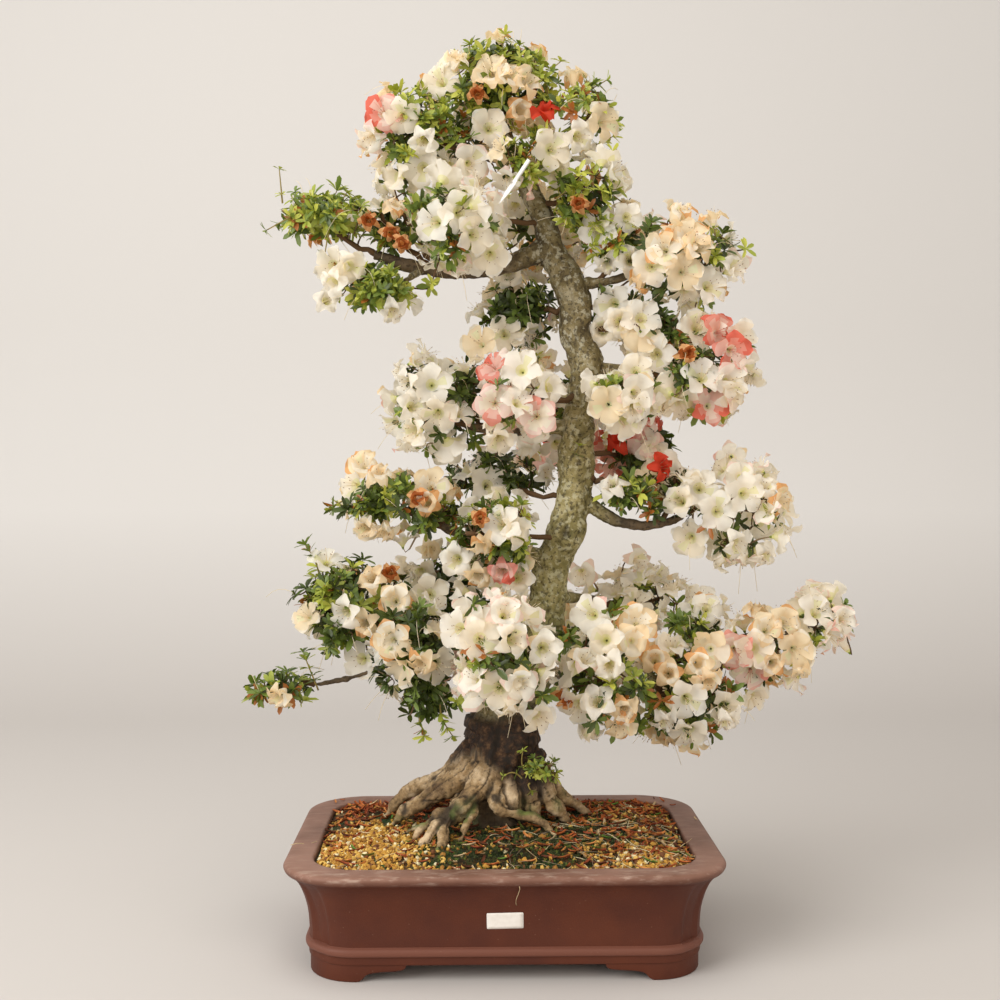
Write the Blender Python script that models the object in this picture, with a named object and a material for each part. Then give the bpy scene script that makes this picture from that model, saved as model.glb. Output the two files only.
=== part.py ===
# Azalea bonsai in blossom, standing in its unglazed stoneware pot
# Metres, +Z up. The show side faces -Y, and z = 0 is the surface under the pot's feet.
# Shapes are worked out from the middle of the pot, and one empty carries them all.

import math
import random
from collections import namedtuple

import bmesh
import bpy
import numpy as np
from mathutils import Vector
from mathutils.bvhtree import BVHTree

CLEARANCE = 0.0003  # between two neighbouring pieces
WALL = 0.0012  # between two masses of foliage
POT_X = -0.0710  # the pot stands left of the middle of the whole width

# Pot: a rectangle with rounded, grooved corners, a broad lip, a belt and four cloud feet
POT_LENGTH = 0.550
POT_DEPTH = 0.400
POT_HEIGHT = 0.137
LIP_WIDTH = 0.0355
RIM_CORNER = 0.079  # corner radius of the rim, seen from above
CORNER_SHRINK = 0.6  # how much of an inset the corner radius loses
CORNER_GROOVE = 0.0035
CORNER_ANGLES = (0, 18, 31, 36, 54, 59, 72, 90)
GROOVE_ANGLES = (36, 54)
BELT_GROOVE = 0.001
UNDERSIDE = 0.0203
FLOOR = 0.034
DRAIN_RADIUS = 0.016
DRAIN_X = 0.110
DRAIN_SIDES = 16

# Outer wall: how far in from the rim, height, and depth of the corner groove
OUTER_WALL = (
    (0.0360, UNDERSIDE, 0.0),
    (0.0275, 0.0250, BELT_GROOVE),
    (0.0262, 0.0350, BELT_GROOVE),
    (0.0280, 0.0420, BELT_GROOVE),
    (0.0305, 0.0445, CORNER_GROOVE),
    (0.0295, 0.0660, CORNER_GROOVE),
    (0.0240, 0.0930, CORNER_GROOVE),
    (0.0160, 0.1130, CORNER_GROOVE),
    (0.0012, 0.1275, 0.0),
    (0.0000, 0.1340, 0.0),
    (0.0030, POT_HEIGHT, 0.0),
    (LIP_WIDTH, POT_HEIGHT, 0.0),
)

# Inner wall: how far in from the rim, and height
CAVITY = (
    (LIP_WIDTH + 0.001, 0.1280),
    (LIP_WIDTH + 0.004, 0.0800),
    (LIP_WIDTH + 0.008, 0.0400),
    (LIP_WIDTH + 0.013, FLOOR),
)

# Feet: a scrolled lower edge, as reach along the arm from the corner and height
FOOT_INSET = 0.0365
FOOT_THICK = 0.018
FOOT_SINK = 0.004
FOOT_ARM = (
    (0.1220, UNDERSIDE - 0.001),
    (0.1170, 0.0138),
    (0.0760, 0.0105),
    (0.0700, 0.0030),
    (0.0627, 0.0),
)
FOOT_CORNER_ANGLES = (0, 22.5, 45, 67.5, 90)

# Soil: a low mound whose flat middle carries the root plate
GROUND = 0.146
SOIL_EDGE = 0.129
SOIL_BANK = (0.010, 0.004)  # the mound's first step in from the edge, and up
PLATEAU = (0.180, 0.128)
PLATEAU_BACK = 0.008

# Trunk: height, sideways place and diameter at each change of lean or taper
TRUNK_STATIONS = (
    (0.138, -0.012, 0.134),
    (0.181, -0.011, 0.120),
    (0.230, -0.004, 0.106),
    (0.256, 0.001, 0.093),
    (0.288, 0.006, 0.082),
    (0.382, 0.050, 0.061),
    (0.431, 0.061, 0.052),
    (0.485, 0.066, 0.049),
    (0.539, 0.086, 0.048),
    (0.594, 0.097, 0.044),
    (0.644, 0.099, 0.046),
    (0.712, 0.106, 0.040),
    (0.759, 0.112, 0.044),
    (0.807, 0.098, 0.043),
    (0.847, 0.096, 0.043),
    (0.884, 0.083, 0.042),
    (0.912, 0.069, 0.037),
    (0.965, 0.053, 0.029),
    (0.993, 0.038, 0.027),
    (1.026, 0.024, 0.022),
    (1.053, 0.013, 0.017),
    (1.086, 0.003, 0.011),
)
TRUNK_BACK = 0.024  # how far the trunk stands behind the pot's middle
TRUNK_SWAY = 0.006
TRUNK_SIDES = 12
TRUNK_STEPS = 30
TRUNK_LUMPS = 0.03
BOUGH_SIDES = 6
LONG_BOUGH = 0.15  # boughs longer than this take two more rings
BOUGH_WANDER = 0.02
COLLAR_SWELL = 0.25  # a bough is this much wider where it leaves its parent
COLLAR_LENGTH = 0.03

# Roots: where each ends on the ground, its width at the trunk and at its end
ROOT_RISE = 0.092
ROOT_BEND = 0.007
ROOT_SIDES = 5
ROOT_STEPS = (0.0, 0.3, 0.55, 0.8, 1.0)
ROOT_TIPS = (
    (-0.157, 0.040, 0.046, 0.013),
    (-0.140, 0.084, 0.034, 0.010),
    (-0.108, -0.058, 0.044, 0.015),
    (-0.076, -0.094, 0.042, 0.013),
    (-0.030, -0.074, 0.026, 0.010),
    (0.070, -0.052, 0.044, 0.012),
    (0.088, 0.012, 0.040, 0.012),
    (0.112, 0.092, 0.046, 0.014),
    (0.024, 0.132, 0.042, 0.012),
    (-0.062, 0.128, 0.038, 0.012),
)

# Blossom and leaf sizes, a little larger than life so that fewer of them fill the tree
PETAL_REACH = 0.035
NOTCH_REACH = 0.027
THROAT_DEPTH = 0.016
FLOWER_DEPTH = 0.024
LEAF_REACH = 0.040
LEAF_HALF_WIDTH = 0.0080
WHORL_THICK = 0.0022
LEAVES = 5
PETALS = 5
PETAL_CURL = -0.004
NOTCH_CURL = 0.001
LEAF_OUTLINE = ((0.55, -1.0, 0.5), (1.0, 0.0, 1.0), (0.55, 1.0, 0.5))  # along, across, lift
LEAF_ROOT = 0.62  # half width between two leaves, as a share of a leaf's own
STEM_RADIUS = 0.0044
STEM_END = 0.0026
NECK = 0.006  # a stem leaves its carrier straight for this far
TWIG_RADIUS = 0.0017
SHORTEST_TWIG = 0.006
STEM_SIDES = 3
STEM_STEPS = (0.0, 0.3, 0.6, 1.0)
LIMB_CLEAR = 0.0018  # between a twig, leaf or petal and any limb
BARK_SWELL = 0.0008  # the trunk's lumps stand out from its round shape by this much
FLOWER_ROOM = 0.050  # least distance between two blossoms of a mass
WHORL_ROOM = 0.034
SECOND_ORDER = 0.012  # a twig leaves another twig only where that shortens it by this much
FULL_SIZE = 0.058  # a mass narrower than this holds smaller blossoms and leaves
LEAST_SIZE = 0.62
TRIES = 70
OUTERMOST = 0.98  # a spray is tried this far out first, as a share of the mass's reach
INNERMOST = 0.28
SEED = 4100

Limb = namedtuple("Limb", "name parent at tip sag base end")
Mass = namedtuple("Mass", "name centre radii carrier at flowers whorls")
Path = namedtuple("Path", "points radii")

# Boughs: where each leaves its parent (a height on the trunk, a share of a bough's length),
# its tip, how far its middle hangs below or rises above a straight line, and its two widths.
# They are named for the tier and side that they grow to, counted from the top
BOUGHS = (
    Limb("upper_left", "trunk", 0.922, (-0.172, 0.012, 0.908), -0.028, 0.026, 0.011),
    Limb("upper_left_spur", "upper_left", 0.72, (-0.130, -0.014, 0.868), 0.0, 0.008, 0.006),
    Limb("right_upper", "trunk", 0.872, (0.168, 0.006, 0.880), -0.004, 0.018, 0.009),
    Limb("right_second", "trunk", 0.757, (0.198, 0.000, 0.747), 0.003, 0.018, 0.009),
    Limb("right_third", "trunk", 0.592, (0.240, 0.000, 0.560), -0.028, 0.020, 0.009),
    Limb("right_low", "trunk", 0.392, (0.388, 0.006, 0.402), -0.030, 0.030, 0.008),
    Limb("right_low_fork", "right_low", 0.62, (0.300, -0.036, 0.384), 0.0, 0.011, 0.007),
    Limb("right_low_front", "right_low", 0.40, (0.202, -0.046, 0.334), 0.0, 0.014, 0.008),
    Limb("front_right", "trunk", 0.336, (0.100, -0.070, 0.350), 0.008, 0.022, 0.009),
    Limb("left_low", "trunk", 0.366, (-0.150, -0.010, 0.415), 0.004, 0.028, 0.009),
    Limb("left_low_front", "left_low", 0.45, (-0.090, -0.044, 0.376), 0.0, 0.012, 0.007),
    Limb("left_low_long", "left_low", 0.64, (-0.250, -0.036, 0.340), -0.012, 0.010, 0.005),
    Limb("front_low", "trunk", 0.310, (0.000, -0.122, 0.360), 0.006, 0.020, 0.009),
    Limb("left_third", "trunk", 0.500, (-0.082, 0.000, 0.545), -0.004, 0.022, 0.010),
    Limb("left_second", "trunk", 0.684, (-0.050, 0.010, 0.680), -0.010, 0.020, 0.010),
    Limb("left_back", "trunk", 0.410, (-0.062, 0.080, 0.430), 0.004, 0.020, 0.009),
    Limb("right_back", "trunk", 0.446, (0.142, 0.092, 0.436), 0.004, 0.020, 0.009),
    Limb("back_low", "trunk", 0.384, (0.056, 0.118, 0.378), 0.006, 0.022, 0.010),
    Limb("back_mid", "trunk", 0.664, (0.094, 0.104, 0.685), 0.002, 0.018, 0.009),
)

# Masses of foliage: the middle and half sizes of the rounded space that each keeps to, the
# limb that carries it (and how high up, where that is the trunk), and how many blossoms and
# whorls of leaves it tries to hold
MASSES = (
    Mass("apex", (-0.006, 0.020, 1.136), (0.096, 0.078, 0.066), "trunk", None, 8, 6),
    Mass("top_left", (-0.117, 0.000, 1.067), (0.070, 0.066, 0.077), "trunk", 1.034, 6, 3),
    Mass("top_right", (0.099, 0.000, 1.087), (0.062, 0.060, 0.062), "trunk", 1.012, 3, 4),
    Mass("upper_left_front", (-0.067, -0.050, 0.939), (0.073, 0.058, 0.070), "trunk", 0.950, 6, 3),
    Mass("right_shoulder", (0.114, -0.006, 0.985), (0.060, 0.058, 0.062), "trunk", 0.976, 4, 3),
    Mass("upper_left_tip", (-0.230, 0.010, 0.950), (0.076, 0.058, 0.062), "upper_left", None, 1, 8),
    Mass("upper_left_under", (-0.174, -0.010, 0.858), (0.072, 0.054, 0.052), "upper_left_spur", None, 4, 2),
    Mass("right_upper", (0.235, 0.000, 0.897), (0.088, 0.072, 0.076), "right_upper", None, 8, 4),
    Mass("right_upper_under", (0.188, 0.020, 0.820), (0.062, 0.054, 0.046), "trunk", 0.806, 4, 1),
    Mass("right_second", (0.262, 0.000, 0.750), (0.080, 0.068, 0.072), "right_second", None, 7, 3),
    Mass("right_second_front", (0.157, -0.048, 0.714), (0.050, 0.044, 0.043), "trunk", 0.705, 3, 1),
    Mass("right_back", (0.190, 0.092, 0.649), (0.064, 0.054, 0.056), "trunk", 0.640, 3, 2),
    Mass("left_second", (-0.100, 0.010, 0.707), (0.060, 0.062, 0.080), "left_second", None, 6, 2),
    Mass("left_second_front", (0.014, -0.052, 0.713), (0.058, 0.048, 0.062), "trunk", 0.718, 5, 1),
    Mass("left_upper_back", (0.022, 0.074, 0.844), (0.060, 0.054, 0.066), "trunk", 0.835, 4, 2),
    Mass("left_mid_back", (-0.002, 0.094, 0.609), (0.084, 0.064, 0.059), "trunk", 0.580, 4, 4),
    Mass("left_third", (-0.148, 0.000, 0.574), (0.082, 0.062, 0.050), "left_third", None, 2, 6),
    Mass("left_third_front", (-0.015, -0.050, 0.538), (0.062, 0.050, 0.056), "trunk", 0.530, 4, 2),
    Mass("left_third_back", (-0.065, 0.084, 0.475), (0.066, 0.054, 0.050), "trunk", 0.468, 3, 2),
    Mass("left_low", (-0.206, -0.010, 0.445), (0.068, 0.064, 0.072), "left_low", None, 4, 5),
    Mass("left_low_mid", (-0.115, -0.056, 0.385), (0.062, 0.062, 0.080), "left_low_front", None, 5, 4),
    Mass("left_low_back", (-0.122, 0.108, 0.425), (0.074, 0.062, 0.056), "left_back", None, 5, 2),
    Mass("front_low", (-0.004, -0.172, 0.397), (0.061, 0.063, 0.081), "front_low", None, 7, 2),
    Mass("left_low_tip", (-0.293, -0.040, 0.334), (0.050, 0.042, 0.048), "left_low_long", None, 1, 3),
    Mass("right_third_inner", (0.171, -0.012, 0.588), (0.045, 0.042, 0.040), "trunk", 0.612, 1, 3),
    Mass("right_third", (0.310, 0.000, 0.564), (0.080, 0.068, 0.076), "right_third", None, 9, 2),
    Mass("right_low_front", (0.122, -0.110, 0.366), (0.062, 0.064, 0.084), "front_right", None, 6, 3),
    Mass("right_low_mid", (0.229, -0.062, 0.334), (0.075, 0.066, 0.078), "right_low_front", None, 7, 3),
    Mass("right_low_far", (0.345, -0.012, 0.383), (0.075, 0.058, 0.060), "right_low_fork", None, 6, 2),
    Mass("right_low_tip", (0.426, 0.008, 0.421), (0.050, 0.046, 0.046), "right_low", None, 2, 2),
    Mass("right_low_back", (0.196, 0.124, 0.435), (0.090, 0.064, 0.052), "right_back", None, 6, 2),
    Mass("back_low", (0.057, 0.172, 0.373), (0.088, 0.063, 0.074), "back_low", None, 7, 3),
    Mass("back_mid", (0.086, 0.158, 0.700), (0.092, 0.064, 0.088), "back_mid", None, 8, 3),
    Mass("back_upper", (0.062, 0.126, 0.961), (0.090, 0.064, 0.076), "trunk", 0.920, 7, 3),
    Mass("base_sprig", (0.046, -0.050, 0.232), (0.032, 0.028, 0.036), "trunk", 0.214, 0, 3),
)


def clear_scene():
    for thing in list(bpy.data.objects):
        bpy.data.objects.remove(thing, do_unlink=True)


def plain_material(name, colour, roughness):
    material = bpy.data.materials.new(name)
    material.use_nodes = True
    shader = material.node_tree.nodes["Principled BSDF"]
    shader.inputs["Base Color"].default_value = (*colour, 1.0)
    shader.inputs["Roughness"].default_value = roughness
    shader.inputs["Metallic"].default_value = 0.0
    return material


def as_object(name, bm, collection=None):
    bmesh.ops.recalc_face_normals(bm, faces=bm.faces[:])
    mesh = bpy.data.meshes.new(name)
    bm.to_mesh(mesh)
    bm.free()
    piece = bpy.data.objects.new(name, mesh)
    (collection or bpy.context.scene.collection).objects.link(piece)
    return piece


def finish(piece, material, carrier, sharp_degrees):
    piece.data.materials.clear()
    piece.data.materials.append(material)
    piece.data.shade_smooth()
    piece.data.set_sharp_from_angle(angle=math.radians(sharp_degrees))
    piece.parent = carrier


def apply_modifiers(piece):
    bpy.context.view_layer.update()
    evaluated = piece.evaluated_get(bpy.context.evaluated_depsgraph_get())
    mesh = bpy.data.meshes.new_from_object(evaluated)
    piece.modifiers.clear()
    old = piece.data
    piece.data = mesh
    bpy.data.meshes.remove(old)


def boolean(piece, operation, collection, solver="EXACT"):
    modifier = piece.modifiers.new(operation.lower(), "BOOLEAN")
    modifier.operation = operation
    modifier.operand_type = "COLLECTION"
    modifier.collection = collection
    modifier.solver = solver
    apply_modifiers(piece)


def work_with(piece, operation, solids, solver="EXACT"):
    """Join the solids to the piece, or cut them from it, and clear them away."""
    collection = bpy.data.collections.new(operation)
    bpy.context.scene.collection.children.link(collection)
    for number, solid in enumerate(solids):
        as_object(f"{operation}_{number}", solid, collection)
    boolean(piece, operation, collection, solver)
    for thing in list(collection.objects):
        bpy.data.objects.remove(thing, do_unlink=True)
    bpy.data.collections.remove(collection)


def islands(bm):
    """Groups of faces that hang together."""
    left = set(bm.faces)
    while left:
        start = left.pop()
        group = {start}
        edge_of_search = [start]
        while edge_of_search:
            for edge in edge_of_search.pop().edges:
                for face in edge.link_faces:
                    if face in left:
                        left.discard(face)
                        group.add(face)
                        edge_of_search.append(face)
        yield group


def signed_volume(faces):
    total = 0.0
    for face in faces:
        corners = [corner.co for corner in face.verts]
        for second, third in zip(corners[1:-1], corners[2:]):
            total += corners[0].dot(second.cross(third)) / 6.0
    return total


def keep_main_body(piece):
    """Fill sealed hollows and drop scraps, so that one closed body is left."""
    bm = bmesh.new()
    bm.from_mesh(piece.data)
    bmesh.ops.triangulate(bm, faces=bm.faces[:])
    groups = sorted(islands(bm), key=signed_volume)
    doomed = [face for group in groups[:-1] for face in group]
    bmesh.ops.delete(bm, geom=doomed, context="FACES")
    bm.to_mesh(piece.data)
    bm.free()


def loft(rings, bm=None):
    """A closed solid through rings of equal length, with flat ends."""
    bm = bm or bmesh.new()
    rows = [[bm.verts.new(point) for point in ring] for ring in rings]
    for lower, upper in zip(rows, rows[1:]):
        for i, vert in enumerate(lower):
            j = (i + 1) % len(lower)
            bm.faces.new((vert, lower[j], upper[j]))
            bm.faces.new((vert, upper[j], upper[i]))
    bm.faces.new(list(reversed(rows[0])))
    bm.faces.new(rows[-1])
    return bm


def frames_along(points):
    """A tangent and two side directions at each point, turned as little as possible."""
    points = [Vector(point) for point in points]
    tangents = []
    for i in range(len(points)):
        before = points[max(i - 1, 0)]
        after = points[min(i + 1, len(points) - 1)]
        tangents.append((after - before).normalized())
    side = tangents[0].orthogonal().normalized()
    frames = []
    for tangent in tangents:
        side = (side - tangent * side.dot(tangent)).normalized()
        frames.append((tangent, side, tangent.cross(side)))
    return frames


def tube(path, sides, extra=0.0, lumps=0.0):
    """A tapering limb round a path; its bark swells and sinks by the share given as lumps."""
    rings = []
    for point, radius, frame in zip(path.points, path.radii, frames_along(path.points)):
        ring = []
        for k in range(sides):
            angle = 2.0 * math.pi * k / sides
            swell = math.sin(2.0 * angle + 31.0 * point[2]) + 0.6 * math.sin(3.0 * angle - 57.0 * point[2])
            reach = radius * (1.0 + lumps * swell) + extra
            offset = frame[1] * math.cos(angle) + frame[2] * math.sin(angle)
            ring.append(Vector(point) + offset * reach)
        rings.append(ring)
    return loft(rings)


def smooth_through(stations, count):
    """Points evenly spread on a Catmull-Rom curve through the stations."""
    stations = np.array(stations, dtype=float)
    ends = np.vstack([2 * stations[0] - stations[1], stations, 2 * stations[-1] - stations[-2]])
    result = []
    for place in np.linspace(0, len(stations) - 1.0001, count):
        i = int(place)
        t = place - i
        a, b, c, d = ends[i : i + 4]
        bend = (2 * a - 5 * b + 4 * c - d) * t**2 + (3 * b - a - 3 * c + d) * t**3
        result.append(0.5 * (2 * b + (c - a) * t + bend))
    return np.array(result)


def rounded_outline(inset, groove, z):
    """The pot's plan at one height, with a soft groove down each corner."""
    half_x = POT_LENGTH / 2 - inset
    half_y = POT_DEPTH / 2 - inset
    radius = RIM_CORNER - CORNER_SHRINK * inset
    points = []
    for quarter, (sign_x, sign_y) in enumerate(((1, 1), (-1, 1), (-1, -1), (1, -1))):
        for degrees in CORNER_ANGLES:
            in_groove = GROOVE_ANGLES[0] <= degrees <= GROOVE_ANGLES[1]
            reach = radius - (groove if in_groove else 0.0)
            angle = math.radians(90 * quarter + degrees)
            x = sign_x * (half_x - radius) + reach * math.cos(angle)
            y = sign_y * (half_y - radius) + reach * math.sin(angle)
            points.append((x, y, z))
    return points


def foot_solid(sign_x, sign_y):
    """One cloud foot: a wall that follows a corner, with a scrolled lower edge on both arms."""
    half_x = POT_LENGTH / 2 - FOOT_INSET
    half_y = POT_DEPTH / 2 - FOOT_INSET
    radius = RIM_CORNER - CORNER_SHRINK * FOOT_INSET
    stations = []
    for reach, low in FOOT_ARM:
        stations.append(((half_x, half_y - reach), (1.0, 0.0), low))
    for degrees in FOOT_CORNER_ANGLES:
        angle = math.radians(degrees)
        outward = (math.cos(angle), math.sin(angle))
        place = (half_x - radius + radius * outward[0], half_y - radius + radius * outward[1])
        stations.append((place, outward, 0.0))
    for reach, low in reversed(FOOT_ARM):
        stations.append(((half_x - reach, half_y), (0.0, 1.0), low))
    rings = []
    for place, outward, low in stations:
        inner = (place[0] - FOOT_THICK * outward[0], place[1] - FOOT_THICK * outward[1])
        top = UNDERSIDE + FOOT_SINK
        ring = [(*place, low), (*place, top), (*inner, top), (*inner, low)]
        rings.append([(sign_x * x, sign_y * y, z) for x, y, z in ring])
    return loft(rings)


def drain_hole(x):
    """The round bar that cuts one drain hole through the floor."""
    turns = np.linspace(0, 2 * math.pi, DRAIN_SIDES + 1)[:-1]
    ring = [(x + DRAIN_RADIUS * math.cos(turn), DRAIN_RADIUS * math.sin(turn)) for turn in turns]
    return loft([[(px, py, z) for px, py in ring] for z in (0.0, FLOOR + 0.02)])


def make_pot():
    rings = [rounded_outline(inset, groove, z) for inset, z, groove in OUTER_WALL]
    rings += [rounded_outline(inset, 0.0, z) for inset, z in CAVITY]
    pot = as_object("pot", loft(rings))
    feet = [foot_solid(sx, sy) for sx in (-1, 1) for sy in (-1, 1)]
    work_with(pot, "UNION", feet)
    work_with(pot, "DIFFERENCE", [drain_hole(x) for x in (-DRAIN_X, DRAIN_X)])
    keep_main_body(pot)
    return pot


def make_soil():
    rings = [rounded_outline(inset + CLEARANCE, 0.0, z + CLEARANCE) for inset, z in reversed(CAVITY)]
    edge = CAVITY[0][0] + CLEARANCE
    rings.append(rounded_outline(edge + SOIL_BANK[0], 0.0, SOIL_EDGE + SOIL_BANK[1]))
    plateau = []
    for x, y, _ in rounded_outline(edge, 0.0, 0.0):
        angle = math.atan2(y / POT_DEPTH, x / POT_LENGTH)
        place = (PLATEAU[0] * math.cos(angle), PLATEAU[1] * math.sin(angle) + PLATEAU_BACK)
        plateau.append((*place, GROUND - CLEARANCE))
    rings.append(plateau)
    return as_object("soil", loft(rings))


def trunk_path():
    curve = smooth_through(TRUNK_STATIONS, TRUNK_STEPS)
    points = [(x, TRUNK_BACK + TRUNK_SWAY * math.sin(9.0 * (z - GROUND)), z) for z, x, _ in curve]
    return Path(points, [width / 2 for _, _, width in curve])


def root_path(tip_x, tip_y, base_width, tip_width, trunk):
    """A surface root: down the flare in a slope, then along the ground with a slight bend."""
    foot = Vector((trunk.points[0][0], trunk.points[0][1], GROUND))
    across = Vector((tip_x, tip_y, GROUND)) - foot
    sideways = Vector((-across.y, across.x, 0.0)).normalized()
    points, radii = [], []
    for t in ROOT_STEPS:
        rise = ROOT_RISE * (1.0 - t) ** 1.25 - 0.001
        bend = ROOT_BEND * math.sin(5.0 * t + 40.0 * tip_x)
        points.append(foot + across * t + sideways * bend + Vector((0, 0, rise)))
        radii.append((base_width + (tip_width - base_width) * t) / 2)
    return Path(points, radii)


def below_ground():
    """A block under the soil's surface, which cuts trunk and roots off flat."""
    corners = [(sx * POT_LENGTH, sy * POT_DEPTH) for sx, sy in ((-1, -1), (1, -1), (1, 1), (-1, 1))]
    return loft([[(x, y, z) for x, y in corners] for z in (0.0, GROUND)])


def make_trunk(path):
    trunk = as_object("trunk", tube(path, TRUNK_SIDES, lumps=TRUNK_LUMPS))
    work_with(trunk, "UNION", [tube(root_path(*tip, path), ROOT_SIDES) for tip in ROOT_TIPS])
    work_with(trunk, "DIFFERENCE", [below_ground()])
    keep_main_body(trunk)
    return trunk


def place_on(path, at, is_trunk):
    """A point of a limb's middle line, at a height on the trunk or a share of a bough's length."""
    points = np.array([tuple(point) for point in path.points])
    if is_trunk:
        return Vector([np.interp(at, points[:, 2], points[:, k]) for k in range(3)])
    share = np.linspace(0.0, 1.0, len(points))
    return Vector([np.interp(at, share, points[:, k]) for k in range(3)])


def bough_path(limb, paths):
    start = place_on(paths[limb.parent], limb.at, limb.parent == "trunk")
    tip = Vector(limb.tip)
    sideways = (tip - start).cross(Vector((0, 0, 1))).normalized()
    length = (tip - start).length
    points, radii = [], []
    for t in np.linspace(0.0, 1.0, 7 if length > LONG_BOUGH else 5):
        wander = BOUGH_WANDER * length * math.sin(2.0 * math.pi * t + 60.0 * limb.at)
        bend = Vector((0, 0, 4.0 * limb.sag * t * (1.0 - t)))
        points.append(start.lerp(tip, t) + bend + sideways * wander * t * (1.0 - t) * 4.0)
        collar = 1.0 + COLLAR_SWELL * math.exp(-t * length / COLLAR_LENGTH)
        radii.append((limb.base + (limb.end - limb.base) * t**0.8) / 2 * (collar if t < 1.0 else 1.0))
    return Path(points, radii)


def make_bough(limb, path, paths):
    bough = as_object(f"bough_{limb.name}", tube(path, BOUGH_SIDES))
    parent_sides = TRUNK_SIDES if limb.parent == "trunk" else BOUGH_SIDES
    parent_lumps = TRUNK_LUMPS if limb.parent == "trunk" else 0.0
    work_with(bough, "DIFFERENCE", [tube(paths[limb.parent], parent_sides, CLEARANCE, parent_lumps)])
    keep_main_body(bough)
    return bough


def stem_start(mass, paths, trunk_shape):
    """Where a mass's stem begins, and the way it leaves: off a bough's tip or the trunk's bark."""
    path = paths[mass.carrier]
    if mass.at is None:
        tangent = frames_along(path.points)[-1][0]
        return Vector(path.points[-1]) + tangent * CLEARANCE, tangent
    inside = place_on(path, mass.at, True)
    outward = Vector(mass.centre) - inside
    outward.z = 0.35 * outward.z
    outward.normalize()
    hit, normal, _, _ = trunk_shape.ray_cast(inside + outward * 0.2, -outward)
    return hit + normal * 2 * CLEARANCE, normal


def stem_path(mass, paths, trunk_shape):
    """The stem: away from its carrier, then in a curve through the middle of its space."""
    start, leaving = stem_start(mass, paths, trunk_shape)
    centre = Vector(mass.centre)
    onward = (centre - start) * 0.45
    limits = Vector(mass.radii) * 0.5
    onward = Vector([max(-limit, min(limit, step)) for step, limit in zip(onward, limits)])
    end = centre + onward
    neck = start + leaving * NECK
    handle = neck + leaving * (end - neck).length * 0.35
    width = min(STEM_RADIUS, 0.9 * paths[mass.carrier].radii[-1])
    points, radii = [start], [width]
    for t in STEM_STEPS:
        points.append(neck * (1 - t) ** 2 + handle * 2 * t * (1 - t) + end * t * t)
        radii.append(width + (min(width, STEM_END) - width) * t)
    return Path(points, radii)


def capsules(path, extra=0.0):
    """Round-ended segments that hold a limb, as rows of start, end and two radii."""
    rows = []
    for i in range(len(path.points) - 1):
        widths = (path.radii[i] + extra, path.radii[i + 1] + extra)
        rows.append((*path.points[i], *path.points[i + 1], *widths))
    return rows


def clearance(points, rows):
    """The least distance from any of the points to the limbs' bark."""
    start, along = rows[:, 0:3], rows[:, 3:6] - rows[:, 0:3]
    away = points[:, None, :] - start[None, :, :]
    share = np.clip((away * along).sum(2) / (along * along).sum(1), 0.0, 1.0)
    nearest = away - share[:, :, None] * along[None, :, :]
    radius = rows[:, 6] + share * (rows[:, 7] - rows[:, 6])
    return (np.linalg.norm(nearest, axis=2) - radius).min()


def reach_of(radii, direction):
    return math.sqrt(sum((radius * part) ** 2 for radius, part in zip(radii, direction)))


def walls_round(mass):
    """Planes that part a mass from each neighbour, as rows of a point and an outward direction."""
    planes = []
    for other in MASSES:
        if other.name == mass.name:
            continue
        across = Vector(other.centre) - Vector(mass.centre)
        direction = across.normalized()
        own = reach_of(mass.radii, direction)
        theirs = reach_of(other.radii, direction)
        if own + theirs > across.length:
            planes.append((*(Vector(mass.centre) + across * own / (own + theirs)), *direction))
    return np.array(planes)


def fits(points, mass, walls, limbs):
    points = np.array([tuple(point) for point in points])
    scaled = (points - np.array(mass.centre)) / np.array(mass.radii)
    if (scaled * scaled).sum(1).max() > 1.0:
        return False
    for row in walls:
        if ((points - row[:3]) @ row[3:]).max() > -WALL / 2:
            return False
    return clearance(points, limbs) > LIMB_CLEAR


def sphere_directions(count, rng):
    """Directions spread evenly all round, turned by chance."""
    turn = rng.uniform(0, 2 * math.pi)
    golden = math.pi * (3.0 - math.sqrt(5.0))
    directions = []
    for k in range(count):
        z = 1.0 - 2.0 * (k + 0.5) / count
        ring = math.sqrt(1.0 - z * z)
        angle = golden * k + turn
        directions.append(Vector((ring * math.cos(angle), ring * math.sin(angle), z)))
    rng.shuffle(directions)
    return directions


def facing_frame(facing, rng):
    side = facing.orthogonal().normalized()
    turn = rng.uniform(0, 2 * math.pi)
    across = facing.cross(side)
    u = side * math.cos(turn) + across * math.sin(turn)
    v = across * math.cos(turn) - side * math.sin(turn)
    return u, v


def flower_points(place, facing, rng, size):
    """Rim, throat and tube base of a funnel with five lobes; place is the middle of its rim."""
    u, v = facing_frame(facing, rng)
    rim = []
    for k in range(2 * PETALS):
        reach = (PETAL_REACH if k % 2 == 0 else NOTCH_REACH) * rng.uniform(0.93, 1.0) * size
        angle = math.pi * k / PETALS
        curl = PETAL_CURL if k % 2 == 0 else NOTCH_CURL
        rim.append(place + u * reach * math.cos(angle) + v * reach * math.sin(angle) + facing * curl)
    return rim, place - facing * THROAT_DEPTH * size, place - facing * FLOWER_DEPTH * size


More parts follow.
